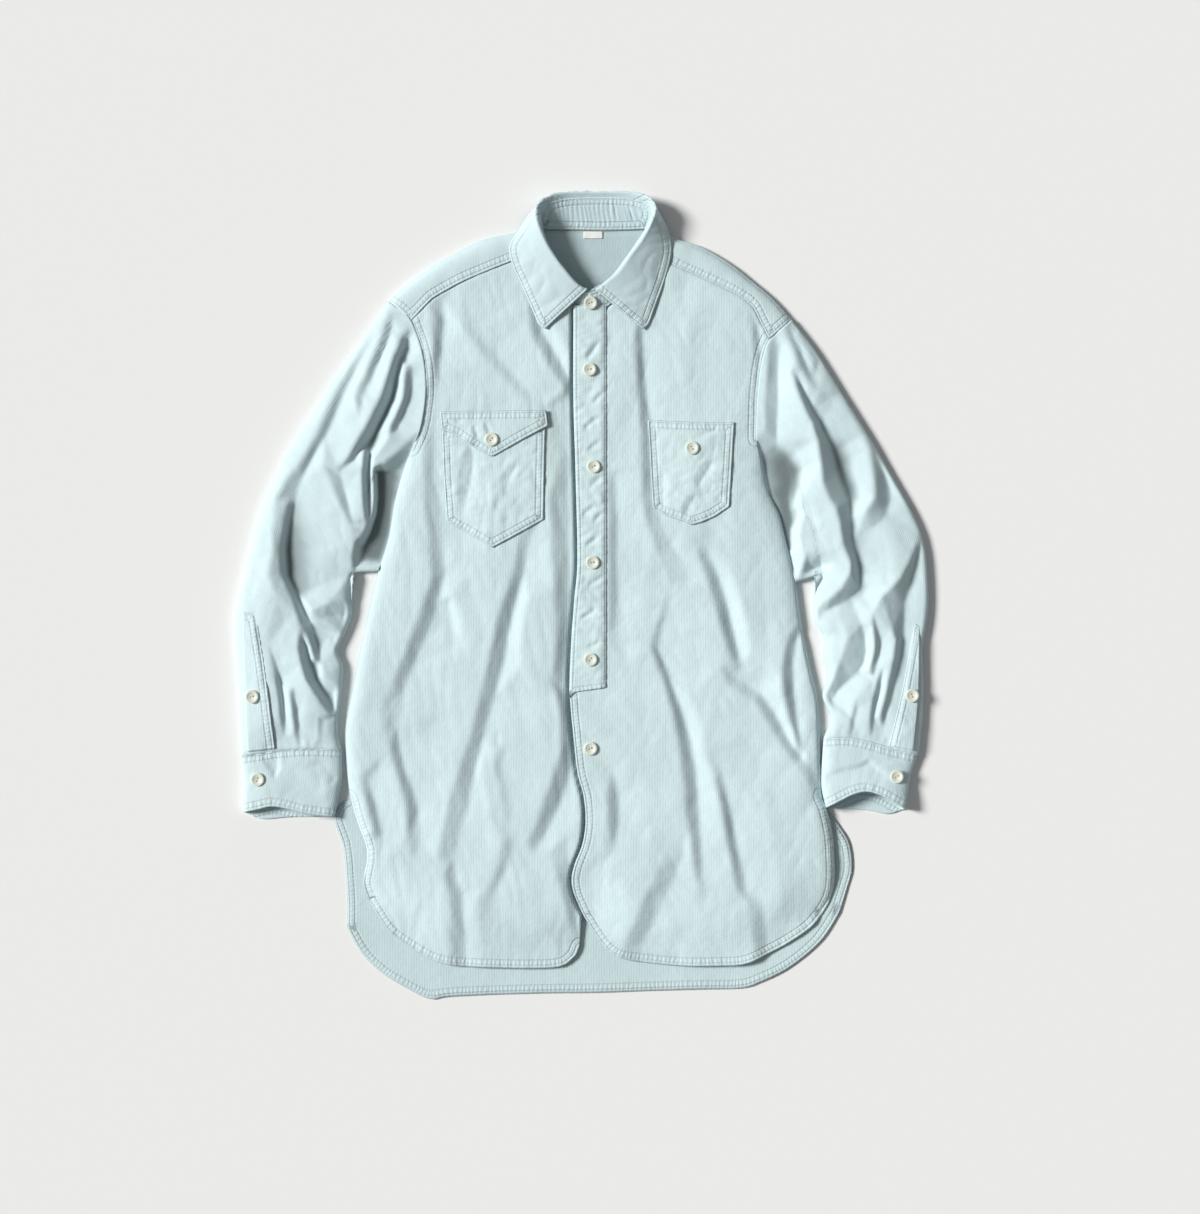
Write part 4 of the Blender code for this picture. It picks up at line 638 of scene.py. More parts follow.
class Field:
    """A shader value that can be worked with like a number."""

    def __init__(self, tree, socket):
        self.tree, self.socket = tree, socket

    def node(self, kind, output=0, settings=None, **inputs):
        """Any other node's output; inputs are named as on the node, with _ for a space."""
        made = self.tree.nodes.new(kind)
        for name, value in (settings or {}).items():
            setattr(made, name, value)
        for name, value in inputs.items():
            place = made.inputs[int(name[1:])] if name[1:].isdigit() else made.inputs[name.replace("_", " ")]
            if isinstance(value, Field):
                self.tree.links.new(value.socket, place)
            else:
                place.default_value = value
        return Field(self.tree, made.outputs[output])

    def math(self, operation, *others):
        inputs = {f"_{place}": value for place, value in enumerate((self,) + others)}
        return self.node("ShaderNodeMath", settings={"operation": operation}, **inputs)

    def __add__(self, other):
        return self.math("ADD", other)

    def __mul__(self, other):
        return self.math("MULTIPLY", other)

    def __sub__(self, other):
        return self.math("SUBTRACT", other)

    def __rsub__(self, other):
        return self * -1 + other

    def __truediv__(self, other):
        return self.math("DIVIDE", other)

    __radd__, __rmul__ = __add__, __mul__


def new_material(name):
    material = bpy.data.materials.new(name)
    material.use_nodes = True
    shader = material.node_tree.nodes["Principled BSDF"]
    start = Field(material.node_tree, None)
    return material, shader, start


def feed(shader, name, value):
    value.tree.links.new(value.socket, shader.inputs[name])


def attribute(start, name, output="Fac"):
    return start.node("ShaderNodeAttribute", output, {"attribute_name": name})


def corduroy_material(settings):
    """Ribbed pile with two rows of stitching beside each seam, from the pieces' own attributes."""
    material, shader, start = new_material("ribbed cloth")
    weave = attribute(start, "weave", "Vector")
    across = weave.node("ShaderNodeSeparateXYZ", "X", Vector=weave)
    along_rib = weave.node("ShaderNodeSeparateXYZ", "Y", Vector=weave)
    place = start.node("ShaderNodeTexCoord", "Object")
    seam, run, wrong_side_and_shade, painted_fold_shade = (attribute(start, name) for name in ("seam", "run", "wrong_side_and_shade", "painted_fold_shade"))

    wobble = place.node("ShaderNodeTexNoise", Vector=place, Scale=55.0)
    rib = ((across / (settings.rib_pitch / MM) + wobble * 0.35) * math.tau).math("COSINE") * 0.5 + 0.5
    pile = place.node("ShaderNodeTexNoise", Vector=place, Scale=1100.0, Detail=3.0, Roughness=0.7)
    nap = place.node("ShaderNodeTexNoise", Vector=place, Scale=26.0, Detail=5.0, Roughness=0.6)
    worn = place.node("ShaderNodeTexNoise", Vector=place, Scale=7.0, Detail=3.0)
    lengthwise = weave.node("ShaderNodeCombineXYZ", X=across * 0.45, Y=along_rib * 0.09)
    streaks = weave.node("ShaderNodeTexNoise", Vector=lengthwise, Scale=1.0, Detail=4.0, Roughness=0.75)

    stitches = (run / 2.9).math("FRACT").math("LESS_THAN", 0.72)
    thread = groove = None
    for distance in STITCH_ROWS:
        off = (seam - distance).math("ABSOLUTE")
        line = (1 - off / 0.5).math("MAXIMUM", 0.0)
        sunk = (1 - off / 1.3).math("MAXIMUM", 0.0)
        thread = line * stitches if thread is None else thread + line * stitches
        groove = sunk if groove is None else groove + sunk
    # rim: painted shade, a dark line along each piece's seams and sewn edges where a contact shadow falls
    rim = (1 - seam / 0.7).math("MAXIMUM", 0.0)
    welt = (1 - (seam - 1.4).math("ABSOLUTE") / 0.8).math("MAXIMUM", 0.0)
    beside = (1 - (seam - 5.0).math("ABSOLUTE") / 5.5).math("MAXIMUM", 0.0)
    gather = (run * (math.tau / 4.3) + nap * 22.0).math("SINE") * beside

    shade = (0.95 + rib * 0.05) * (0.85 + nap * 0.15 + worn * 0.15) * (0.93 + streaks * 0.14)
    # groove: the stitch grooves are sunk by the bump, and their colour is darkened as painted shade
    shade = shade * (0.93 + pile * 0.14) * (1 - groove * 0.15) * (1 - rim * 0.45) * (1 + welt * 0.06)
    # painted_fold_shade: painted shade, the colour darkened in the bottoms of deep folds
    # wrong_side_and_shade: darker where the wrong side shows for its duller tone, and at full strength under
    # the neck as painted shade
    shade = shade * (1 + gather * 0.03) * (1 - wrong_side_and_shade * 0.22) * (1 - painted_fold_shade * settings.painted_fold_shade_strength)
    colour = start.node("ShaderNodeVectorMath", settings={"operation": "SCALE"},
                        _0=settings.cloth_colour[:3], Scale=shade)
    colour = start.node("ShaderNodeMix", 2, {"data_type": "RGBA"}, Factor=thread.math("MINIMUM", 1.0) * 0.5,
                        _6=colour, _7=(*settings.thread_colour[:3], 1.0))
    feed(shader, "Base Color", colour)

    height = rib * 0.08 + pile * 0.2 + nap * 1.3 + streaks * 0.14 + gather * 0.16
    height = height + thread * 0.16 - groove * 0.5 + welt * 0.1
    bump = start.node("ShaderNodeBump", Strength=1.0, Distance=MM, Height=height)
    feed(shader, "Normal", bump)
    shader.inputs["Roughness"].default_value = 0.92
    shader.inputs["Specular IOR Level"].default_value = 0.15
    shader.inputs["Sheen Weight"].default_value = 0.35
    shader.inputs["Sheen Roughness"].default_value = 0.45
    shader.inputs["Sheen Tint"].default_value = (0.85, 0.95, 1.0, 1.0)
    return material


def button_material(settings):
    """Cream resin with a faint cloudy grain."""
    material, shader, start = new_material("cream resin")
    place = start.node("ShaderNodeTexCoord", "Object")
    cloud = place.node("ShaderNodeTexNoise", Vector=place, Scale=160.0, Detail=4.0)
    fleck = place.node("ShaderNodeTexNoise", Vector=place, Scale=700.0, Detail=2.0)
    colour = start.node("ShaderNodeVectorMath", settings={"operation": "SCALE"},
                        _0=settings.button_colour[:3], Scale=0.86 + cloud * 0.22 + fleck * 0.05)
    feed(shader, "Base Color", colour)
    feed(shader, "Roughness", 0.28 + cloud * 0.2)
    bump = start.node("ShaderNodeBump", Strength=0.3, Distance=0.2 * MM, Height=fleck)
    feed(shader, "Normal", bump)
    shader.inputs["Subsurface Weight"].default_value = 0.15
    shader.inputs["Subsurface Radius"].default_value = (0.0012, 0.0009, 0.0006)
    return material


def label_material(settings):
    """Close satin weave."""
    material, shader, start = new_material("label satin")
    place = start.node("ShaderNodeTexCoord", "Object")
    ribs = place.node("ShaderNodeTexWave", Vector=place, Scale=420.0, Distortion=0.4)
    colour = start.node("ShaderNodeVectorMath", settings={"operation": "SCALE"},
                        _0=settings.label_colour[:3], Scale=0.9 + ribs * 0.12)
    feed(shader, "Base Color", colour)
    bump = start.node("ShaderNodeBump", Strength=0.4, Distance=0.1 * MM, Height=ribs)
    feed(shader, "Normal", bump)
    shader.inputs["Roughness"].default_value = 0.55
    return material


def floor_material(settings):
    """Plain pale paper."""
    material, shader, start = new_material("pale floor")
    place = start.node("ShaderNodeTexCoord", "Object")
    grain = place.node("ShaderNodeTexNoise", Vector=place, Scale=300.0, Detail=3.0)
    colour = start.node("ShaderNodeVectorMath", settings={"operation": "SCALE"},
                        _0=settings.floor_colour[:3], Scale=0.99 + grain * 0.02)
    feed(shader, "Base Color", colour)
    shader.inputs["Roughness"].default_value = 0.9
    shader.inputs["Specular IOR Level"].default_value = 0.1
    return material


def material_for(name):
    makers = {"ribbed cloth": corduroy_material, "cream resin": button_material,
              "label satin": label_material, "pale floor": floor_material}
    return bpy.data.materials.get(name) or makers[name](bpy.context.scene.shirt)


# Building cloth

Cloth = namedtuple("Cloth", "obj skin")   # an object and its unthickened surface
MADE = {}


def grid_cells(columns, rows, gone=None):
    """A grid mesh in a bmesh, with each vertex's column and row."""
    bm = bmesh.new()
    bmesh.ops.create_grid(bm, x_segments=columns, y_segments=rows, size=0.5)
    if gone:
        doomed = []
        for face in bm.faces:
            middle = face.calc_center_median()
            if gone((middle.x + 0.5) * columns, (0.5 - middle.y) * rows):
                doomed.append(face)
        bmesh.ops.delete(bm, geom=doomed, context="FACES")
    flat = np.array([vert.co[:2] for vert in bm.verts])
    return bm, np.round((flat[:, 0] + 0.5) * columns), np.round((0.5 - flat[:, 1]) * rows)


def make_cloth(name, nodes, columns, rows, spots, weave=None, seams=(), thickness=CLOTH, closed=False,
               gone=None, wrong_side_and_shade=None, painted_fold_shade=None, material="ribbed cloth"):
    """A sheet through spots(column, row), in mm, with its weave and seam distances stored on it.

    wrong_side_and_shade(column, row) is 1 where the cloth's smooth wrong side shows; the colour is darkened
    there, partly for the wrong side's duller tone and partly as painted shade inside the neck.
    painted_fold_shade(x, y) is 1 in the bottoms of deep folds, where the colour is darkened as painted
    shade.
    """
    bm, column, row = grid_cells(columns, rows, gone)
    points = spots(column, row)
    x, y = points[:, 0], points[:, 1]
    distance, run = np.full(x.shape, 99.0), np.zeros(x.shape)
    for seam in seams:
        gap, _, seam_run = nearest_on(spline(seam, 60), x, y)
        run = np.where(gap < distance, seam_run, run)
        distance = np.minimum(gap, distance)
    across, lengthwise = weave(column, row) if weave else (x, y)
    wrong_side_and_shade_amount = wrong_side_and_shade(column, row) if wrong_side_and_shade else np.zeros(x.shape)
    deep = painted_fold_shade(x, y) if painted_fold_shade else np.zeros(x.shape)
    stored = {"seam": distance, "run": run, "wrong_side_and_shade": wrong_side_and_shade_amount, "painted_fold_shade": deep}
    layers = {key: bm.verts.layers.float.new(key) for key in stored}
    weave_layer = bm.verts.layers.float_vector.new("weave")
    for index, vert in enumerate(bm.verts):
        vert.co = metres(*points[index])
        for key, values in stored.items():
            vert[layers[key]] = values[index]
        vert[weave_layer] = (across[index], lengthwise[index], 0)
    if closed:
        bmesh.ops.remove_doubles(bm, verts=bm.verts, dist=1e-6)
    bmesh.ops.recalc_face_normals(bm, faces=bm.faces)
    skin = BVHTree.FromBMesh(bm)
    mesh = bpy.data.meshes.new(name)
    bm.to_mesh(mesh)
    bm.free()
    mesh.materials.append(material_for(material))
    mesh.shade_smooth()
    obj = bpy.data.objects.new(name, mesh)
    bpy.context.collection.objects.link(obj)
    wall = obj.modifiers.new("Wall", "SOLIDIFY")
    wall.thickness = thickness * MM
    wall.offset = 0
    wall.use_even_offset = not closed
    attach(obj, "root")
    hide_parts(*nodes)
    MADE[name] = Cloth(obj, skin)
    return obj


def height_on(name, x, y):
    """Height in mm of a made piece's middle surface at a point, or None where it isn't."""
    hit = MADE[name].skin.ray_cast(Vector(metres(x, y, 200)), Vector((0, 0, -1)))[0]
    return hit.z / MM if hit else None


def front_height(side, hem, creases, borders, seams, seed, settings):
    """Upper face of a front panel."""
    side_line, hem_line = spline(side, 60), spline(hem, 40)
    below_hem = level([(hem[0][0], -410), (hem[-1][0], -410)])
    terrain = Terrain(creases, [level(line) for line in borders] + [below_hem], 2.1)
    seam_lines = [spline(seam, 60) for seam in seams]

    def height(x, y):
        side_gap = nearest_on(side_line, x, y)[0]
        hem_gap = nearest_on(hem_line, x, y)[0]
        fall = (FRONT_TOP - HEM_TOP) * (1 - smooth_step(hem_gap / HEM_FALL))
        below_armpit = smooth_step((165 - y) / 50)
        fall = fall + (1 - rounding(side_gap)) * (FRONT_TOP - EDGE_HEIGHT) * below_armpit
        gathers = np.zeros(x.shape)
        for number, line in enumerate(seam_lines):
            gap, _, run = nearest_on(line, x, y)
            gathers += pucker(gap, run, seed + 10 * number)
        waves = (0.4 * ripple(x, y * 0.45, 60, seed) + 0.7 * crumple(x, y * 0.5, 70, seed + 5)
                 + 0.4 * crumple(x, y * 0.6, 26, seed + 9) + 0.15 * crumple(x, y * 0.8, 11, seed + 12)) - 0.6
        top = FRONT_TOP - fall + terrain(x, y) * settings.crease_depth * FRONT_SHARE
        return top + waves + settings.pucker_height * 1000 * gathers
    return height


def layer_middle(height, least, x, y):
    """Middle surface of one layer under its upper face, kept above what lies beneath."""
    return np.maximum(height(x, y), least + CLOTH) - CLOTH / 2


class ShirtSettings(bpy.types.PropertyGroup):
    """Sizes and colours of the shirt"""
    rib_pitch: bpy.props.FloatProperty(name="Rib pitch", description="Distance between the corduroy's ribs",
                                       default=0.0016, unit="LENGTH")
    crease_depth: bpy.props.FloatProperty(name="Crease depth", description="Factor on the creases' heights",
                                          default=1.15, min=0.0, max=1.4)
    # Strength of the painted shade in the bottoms of deep folds
    painted_fold_shade_strength: bpy.props.FloatProperty(name="Hollow shade", default=0.7, min=0.0, max=1.0,
                                          description="How much darker the cloth is deep in the folds")
    pucker_height: bpy.props.FloatProperty(name="Pucker height",
                                           description="Height of the gathers beside the seams",
                                           default=0.00035, unit="LENGTH")
    cloth_colour: bpy.props.FloatVectorProperty(name="Cloth", description="Colour of the corduroy",
                                                default=(0.615, 0.755, 0.78), subtype="COLOR")
    thread_colour: bpy.props.FloatVectorProperty(name="Thread", description="Colour of the stitching",
                                                 default=(0.72, 0.84, 0.87), subtype="COLOR")
    button_colour: bpy.props.FloatVectorProperty(name="Buttons", description="Colour of the buttons",
                                                 default=(0.73, 0.755, 0.66), subtype="COLOR")
    label_colour: bpy.props.FloatVectorProperty(name="Label", description="Colour of the neck label",
                                                default=(0.86, 0.86, 0.84), subtype="COLOR")
    floor_colour: bpy.props.FloatVectorProperty(name="Floor", description="Colour of the floor",
                                                default=(0.83, 0.83, 0.82), subtype="COLOR")


class ShirtBack(bpy.types.Operator):
    """Make the back and the yoke"""
    bl_idname = "shirt.back"
    bl_label = "Back and yoke"

    def execute(self, context):
        make_back()
        make_yoke(context.scene.shirt)
        return {"FINISHED"}


class ShirtFronts(bpy.types.Operator):
    """Make both fronts with the front band"""
    bl_idname = "shirt.fronts"
    bl_label = "Fronts"

    def execute(self, context):
        heights = make_fronts(context.scene.shirt)
        make_placket(heights["left"])
        make_pockets(heights)
        return {"FINISHED"}


class ShirtSleeves(bpy.types.Operator):
    """Make the sleeves with their cuffs and plackets"""
    bl_idname = "shirt.sleeves"
    bl_label = "Sleeves and cuffs"

    def execute(self, context):
        heights = make_sleeves(context.scene.shirt)
        make_cuffs(context.scene.shirt)
        make_sleeve_plackets(heights)
        return {"FINISHED"}


class ShirtCollar(bpy.types.Operator):
    """Make the collar stand, the collar leaf and the neck label"""
    bl_idname = "shirt.collar"
    bl_label = "Collar"

    def execute(self, context):
        make_collar()
        make_label()
        return {"FINISHED"}


class ShirtButtons(bpy.types.Operator):
    """Make the buttons and seat them on the cloth"""
    bl_idname = "shirt.buttons"
    bl_label = "Buttons"

    def execute(self, context):
        make_buttons()
        return {"FINISHED"}


class ShirtStage(bpy.types.Operator):
    """Make the floor, the lights and the camera"""
    bl_idname = "shirt.stage"
    bl_label = "Stage"

    def execute(self, context):
        make_stage(context.scene)
        return {"FINISHED"}


class ShirtPanel(bpy.types.Panel):
    """Sizes, colours and steps of the shirt"""
    bl_idname = "VIEW3D_PT_shirt"
    bl_label = "Corduroy shirt"
    bl_space_type = "VIEW_3D"
    bl_region_type = "UI"
    bl_category = "Shirt"

    def draw(self, context):
        for name in ShirtSettings.__annotations__:
            self.layout.prop(context.scene.shirt, name)
        for step in STEPS:
            self.layout.operator(step.bl_idname)


STEPS = (ShirtBack, ShirtFronts, ShirtSleeves, ShirtCollar, ShirtButtons, ShirtStage)


def make_back():
    """The back lies flat on the floor; its tail shows below the fronts."""
    left = joined("right armhole", "right side", "right tail side")
    right = joined("left armhole", "left side", "left tail side")
    left = [BACK_SEAM_ENDS[0]] + [point for point in left if point[1] < BACK_SEAM_ENDS[0][1] - 5]
    right = [BACK_SEAM_ENDS[1]] + [point for point in right if point[1] < BACK_SEAM_ENDS[1][1] - 5]
    patch = Patch(left, right, BACK_SEAM_ENDS, OUTLINE["tail hem"],
                  ((0, 0), (0, 0), (0, -0.3), (0, 0)))
    columns, rows = 90, 150
    hem_line = spline(OUTLINE["tail hem"], 60)

    def spots(column, row):
        x, y = patch.at(column / columns, row / rows).T
        gap, _, run = nearest_on(hem_line, x, y)
        lift = 0.5 * np.exp(-(gap / 14) ** 2) * (1 + ripple(run, gap, 60, 3))
        return np.stack([x, y, CLOTH / 2 + np.maximum(lift, 0)], axis=1)

    obj = make_cloth("back_cloth", ["back"], columns, rows, spots, wrong_side_and_shade=lambda column, row: 0 * row + 0.2,
                     seams=[OUTLINE["tail hem"], OUTLINE["right tail side"], OUTLINE["left tail side"]])


def make_yoke(settings):
    """One piece: flat under the neck, folded over both shoulders to the front seams."""
    side, neck, low, fold, high = 60, 44, 16, 8, 22
    columns, rows = 2 * side + neck, low + fold + high
    first_neck, last_neck = side, side + neck
    front_seams = [OUTLINE["right yoke seam"], OUTLINE["left yoke seam"]]
    seam_lines = [spline(seam, 50) for seam in front_seams]

    def crest(column):
        right = along(OUTLINE["right shoulder"], np.clip(column / side, 0, 1))
        middle = along(OUTLINE["back neck"], np.clip((column - first_neck) / neck, 0, 1))
        left = along(OUTLINE["left shoulder"], np.clip((column - last_neck) / side, 0, 1))
        column = column[:, None]
        return np.where(column < first_neck, right, np.where(column <= last_neck, middle, left))

    def front_seam(column):
        right = along(front_seams[0], np.clip(column / side, 0, 1))
        left = along(front_seams[1], np.clip((column - last_neck) / side, 0, 1))
        return np.where(column[:, None] <= first_neck, right, left)

    def flat_part(column, share):
        (left_x, seam_y), (right_x, _) = BACK_SEAM_ENDS
        x = left_x + (right_x - left_x) * column / columns
        seam = np.stack([x, np.full(x.shape, seam_y)], axis=1)
        straight = seam + (crest(column) - seam) * share[:, None]
        on_right = column < columns / 2
        ends = np.where(on_right[:, None],
                        along([BACK_SEAM_ENDS[0]] + YOKE_ENDS["right"], share),
                        along([BACK_SEAM_ENDS[1]] + YOKE_ENDS["left"], share))
        corner = np.where(on_right[:, None], BACK_SEAM_ENDS[0], BACK_SEAM_ENDS[1])
        border = corner + (crest(np.where(on_right, 0, columns)) - corner) * share[:, None]
        nearness = np.clip(1 - np.minimum(column, columns - column) / 14, 0, 1)[:, None]
        return straight + (ends - border) * nearness ** 2

    def spots(column, row):
        top, seam = crest(column), front_seam(column)
        reach = seam - top
        length = np.maximum(np.linalg.norm(reach, axis=1), 1e-6)
        reach = reach / length[:, None]
        lower = flat_part(column, np.clip(row / low, 0, 1))
        turn = np.clip((row - low) / fold, 0, 1) * math.pi
        out = FOLD_DEPTH * (1 - np.sin(turn))
        share = np.clip((row - low - fold) / high, 0, 1)
        inset = out[:, None] + (length - FOLD_DEPTH)[:, None] * share[:, None]
        upper = top + reach * inset
        under_layer = row <= low
        spot = np.where(under_layer[:, None], lower, upper)
        neck_row = (column > first_neck) & (column < last_neck)
        shift = np.where((row == low) & ~neck_row, FOLD_DEPTH, 0)
        spot = spot + reach * shift[:, None]
        x, y = spot.T
        gathers = np.zeros(x.shape)
        for number, line in enumerate(seam_lines):
            gap, _, run = nearest_on(line, x, y)
            gathers += pucker(gap, run, 70 + number)
        crown = FRONT_TOP - CLOTH / 2
        rise = EDGE_MIDDLE - (EDGE_MIDDLE - CLOTH / 2) * np.cos(turn)
        rise = np.where(turn > math.pi / 2, EDGE_MIDDLE - (YOKE_EDGE - EDGE_MIDDLE) * np.cos(turn), rise)
        flap = YOKE_EDGE + (crown - YOKE_EDGE) * rounding(inset[:, 0] - FOLD_DEPTH, 14)
        flap = flap + settings.pucker_height * 1000 * gathers + 0.3 * ripple(x, y, 30, 8)
        z = np.where(under_layer, CLOTH / 2, np.where(row <= low + fold, rise, flap))
        return np.column_stack([spot, z])

    def gone(column, row):
        return first_neck < column < last_neck and row > low

    # The flat part shows through the neck; its colour is darkened fully there, partly for the wrong side's
    # duller tone and partly as painted shade inside the neck
    def wrong_side_and_shade(column, row):
        return (row <= low) * 1.0

    obj = make_cloth("yoke_cloth", ["yoke"], columns, rows, spots, gone=gone, wrong_side_and_shade=wrong_side_and_shade,
                     seams=front_seams + [YOKE_ENDS["right"], YOKE_ENDS["left"]])


def make_fronts(settings):
    """The left front laps over the right one, which is pressed flat beneath it."""
    lap_line = spline(OUTLINE["left front edge"], 80)

    def lap_x(y):
        return np.interp(-y, -lap_line[:, 1], lap_line[:, 0])

    heights = {}
    right_side = joined("right armhole", "right side", "right front vent")
    seams = [OUTLINE["right armhole"][:6], OUTLINE["right front hem"], OUTLINE["right front vent"]]
    borders = [right_side, joined("right yoke seam", "right neckline"), OUTLINE["right front edge"]]
    heights["right"] = front_height(right_side, OUTLINE["right front hem"], RIGHT_FRONT_CREASES, borders,
                                    seams, 20, settings)
    columns, rows = 130, 330
    patch = Patch(right_side, OUTLINE["right front edge"], joined("right yoke seam", "right neckline"),
                  OUTLINE["right front hem"])

    def right_spots(column, row):
        x, y = patch.at(column / columns, row / rows).T
        z = layer_middle(heights["right"], LEAST_LAYER, x, y)
        x, y, z = tucked_under(x, y, z, column, row)
        lap = smooth_step((x - lap_x(y) + LAP_START) / (LAP_START - LAP_FLAT))
        z = z * (1 - lap) + (LAP_UNDER_TOP - CLOTH / 2) * lap
        return np.stack([x, y, side_tuck(z, column, y)], axis=1)

    obj = make_cloth("front_right_cloth", ["front_right"], columns, rows, right_spots, seams=seams)

    left_side = joined("left armhole", "left side", "left front vent")
    seams = [OUTLINE["left armhole"][:5], OUTLINE["left front hem"], OUTLINE["left front vent"],
             OUTLINE["left front edge"]]
    borders = [left_side, joined("left neckline", "left yoke seam"), OUTLINE["left front edge"]]
    heights["left"] = front_height(left_side, OUTLINE["left front hem"], LEFT_FRONT_CREASES, borders,
                                   seams[:3], 50, settings)
    patch_left = Patch(OUTLINE["left front edge"], left_side, joined("left neckline", "left yoke seam"),
                       OUTLINE["left front hem"])

    def left_spots(column, row):
        x, y = patch_left.at(column / columns, row / rows).T
        least = np.where(x < 28, LAP_UNDER_TOP + 0.8, LEAST_LAYER)
        z = layer_middle(heights["left"], least, x, y)
        x, y, z = tucked_under(x, y, z, columns - column, row, 1)
        return np.stack([x, y, side_tuck(z, columns - column, y)], axis=1)

    obj = make_cloth("front_left_cloth", ["front_left"], columns, rows, left_spots, seams=seams)
    return heights


def tucked_under(x, y, z, column_in, row, out=-1):
    """The edges at the armhole and the yoke go a little way under their neighbours."""
    at_armhole = (column_in == 0) * smooth_step((y - ARMHOLE_TURN) / 20)
    at_yoke = (row == 0) * 1.0
    drop = np.maximum(at_armhole, at_yoke) * UNDERLAP_DROP
    return x + out * UNDERLAP * at_armhole, y + UNDERLAP * at_yoke, z - drop


def side_tuck(z, column_in, y):
    """The side edge below the armpit turns down to the back."""
    tuck = np.exp(-(column_in / 1.1) ** 2) * smooth_step((60 - y) / 50) * smooth_step((y + 190) / 30)
    return z - (z - LEAST_LAYER - CLOTH / 2) * tuck


def sewn_on(name, node, patch, columns, rows, surface, lift, seams, folds, extra):
    """A piece that follows the surface of the panel that it is sewn on."""
    def spots(column, row):
        x, y = patch.at(column / columns, row / rows).T
        z = surface(x, y) + lift + TRIM / 2 + fold_heights(folds, x, y)
        return np.stack([x, y, z + extra(x, y, column / columns, row / rows)], axis=1)

    return make_cloth(name, [node], columns, rows, spots, seams=seams, thickness=TRIM)


def seam_gathers(seams, seed, height):
    """The gathers beside a sewn-on piece's seams, as a height over its surface."""
    lines = [spline(seam, 50) for seam in seams]

    def extra(x, y, u, v):
        total = np.zeros(x.shape)
        for number, line in enumerate(lines):
            gap, _, run = nearest_on(line, x, y)
            total += pucker(gap, run, seed + number)
        return height * total
    return extra


def make_placket(surface):
    """The front band, over the left front's edge."""
    edge = [point for point in OUTLINE["left front edge"] if point[1] > PLACKET_FOOT[0]]
    edge = edge + [(-11, PLACKET_FOOT[0])]
    edge[0] = (-7, 294)
    right = [(PLACKET_RIGHT_EDGE, 296), (PLACKET_RIGHT_EDGE, 100), (PLACKET_RIGHT_EDGE, PLACKET_FOOT[1])]
    top = [(-7, 294), (10, 292), (PLACKET_RIGHT_EDGE, 296)]
    bottom = [(-11, PLACKET_FOOT[0]), (PLACKET_RIGHT_EDGE, PLACKET_FOOT[1])]
    patch = Patch(edge, right, top, bottom)
    left_row, right_row = PLACKET_ROWS
    beside = [[(x - left_row, y) for x, y in edge], [(x + right_row, y) for x, y in right],
              [(x, y - left_row) for x, y in bottom]]
    least = LAP_UNDER_TOP + 0.8 + CLOTH
    gathers = seam_gathers([edge, right], 90, 0.42)

    def settled(x, y, u, v):
        """Both long edges are drawn down by their stitching."""
        right_edge = smooth_step((u - 0.8) / 0.2) * 1.1
        left_edge = smooth_step((0.1 - u) / 0.1) * 0.5
        creased = 0.4 * crumple(x, y * 1.3, 22, 95) + 0.5 * crumple(x + 0.6 * y, 1.2 * y, 17, 98) - 0.2
        loose = smooth_step(np.minimum(u, 1 - u) / 0.12)
        return gathers(x, y, u, v) - right_edge - left_edge + creased * loose

    obj = sewn_on("front_placket_cloth", "front_placket", patch, 22, 200,
                  lambda x, y: np.maximum(surface(x, y), least), LIFT, beside, PLACKET_FOLDS, settled)


def make_pockets(heights):
    """The chest pockets and the right one's flap."""
    for name, surface, lift, rests, flat, area in (
            ("pocket_right", heights["right"], LIFT, "front_right_cloth", (0.104, 0.120), 0.0113),
            ("pocket_left", heights["left"], LIFT, "front_left_cloth", (0.087, 0.105), 0.0084),
            ("pocket_flap_right", heights["right"], 2 * LIFT + TRIM, "pocket_right_cloth",
             (0.109, 0.046), 0.0036)):
        trim = TRIMS[name]
        seams = list(trim)
        least = LEAST_LAYER + CLOTH
        gathers = seam_gathers(seams, 110, 0.22)

        def extra(x, y, u, v, gathers=gathers, is_flap=name == "pocket_flap_right"):
            puff = np.sin(math.pi * np.clip(u, 0, 1)) * np.sin(math.pi * np.clip(v, 0, 1)) ** 0.5
            if is_flap:
                return 0.1 + 1.1 * puff + gathers(x, y, u, v)
            creased = 0.5 * crumple(x, y, 30, 115) + 0.45 * crumple(x, y, 15, 119) - 0.2
            return 1.1 * puff - 0.4 + gathers(x, y, u, v) + creased

        columns = round(flat[0] / MM / 1.6)
        rows = round(flat[1] / MM / 1.6)
        obj = sewn_on(f"{name}_cloth", name, Patch(*trim), columns, rows,
                      lambda x, y, surface=surface, least=least: np.maximum(surface(x, y), least), lift,
                      seams, POCKET_FOLDS[name], extra)


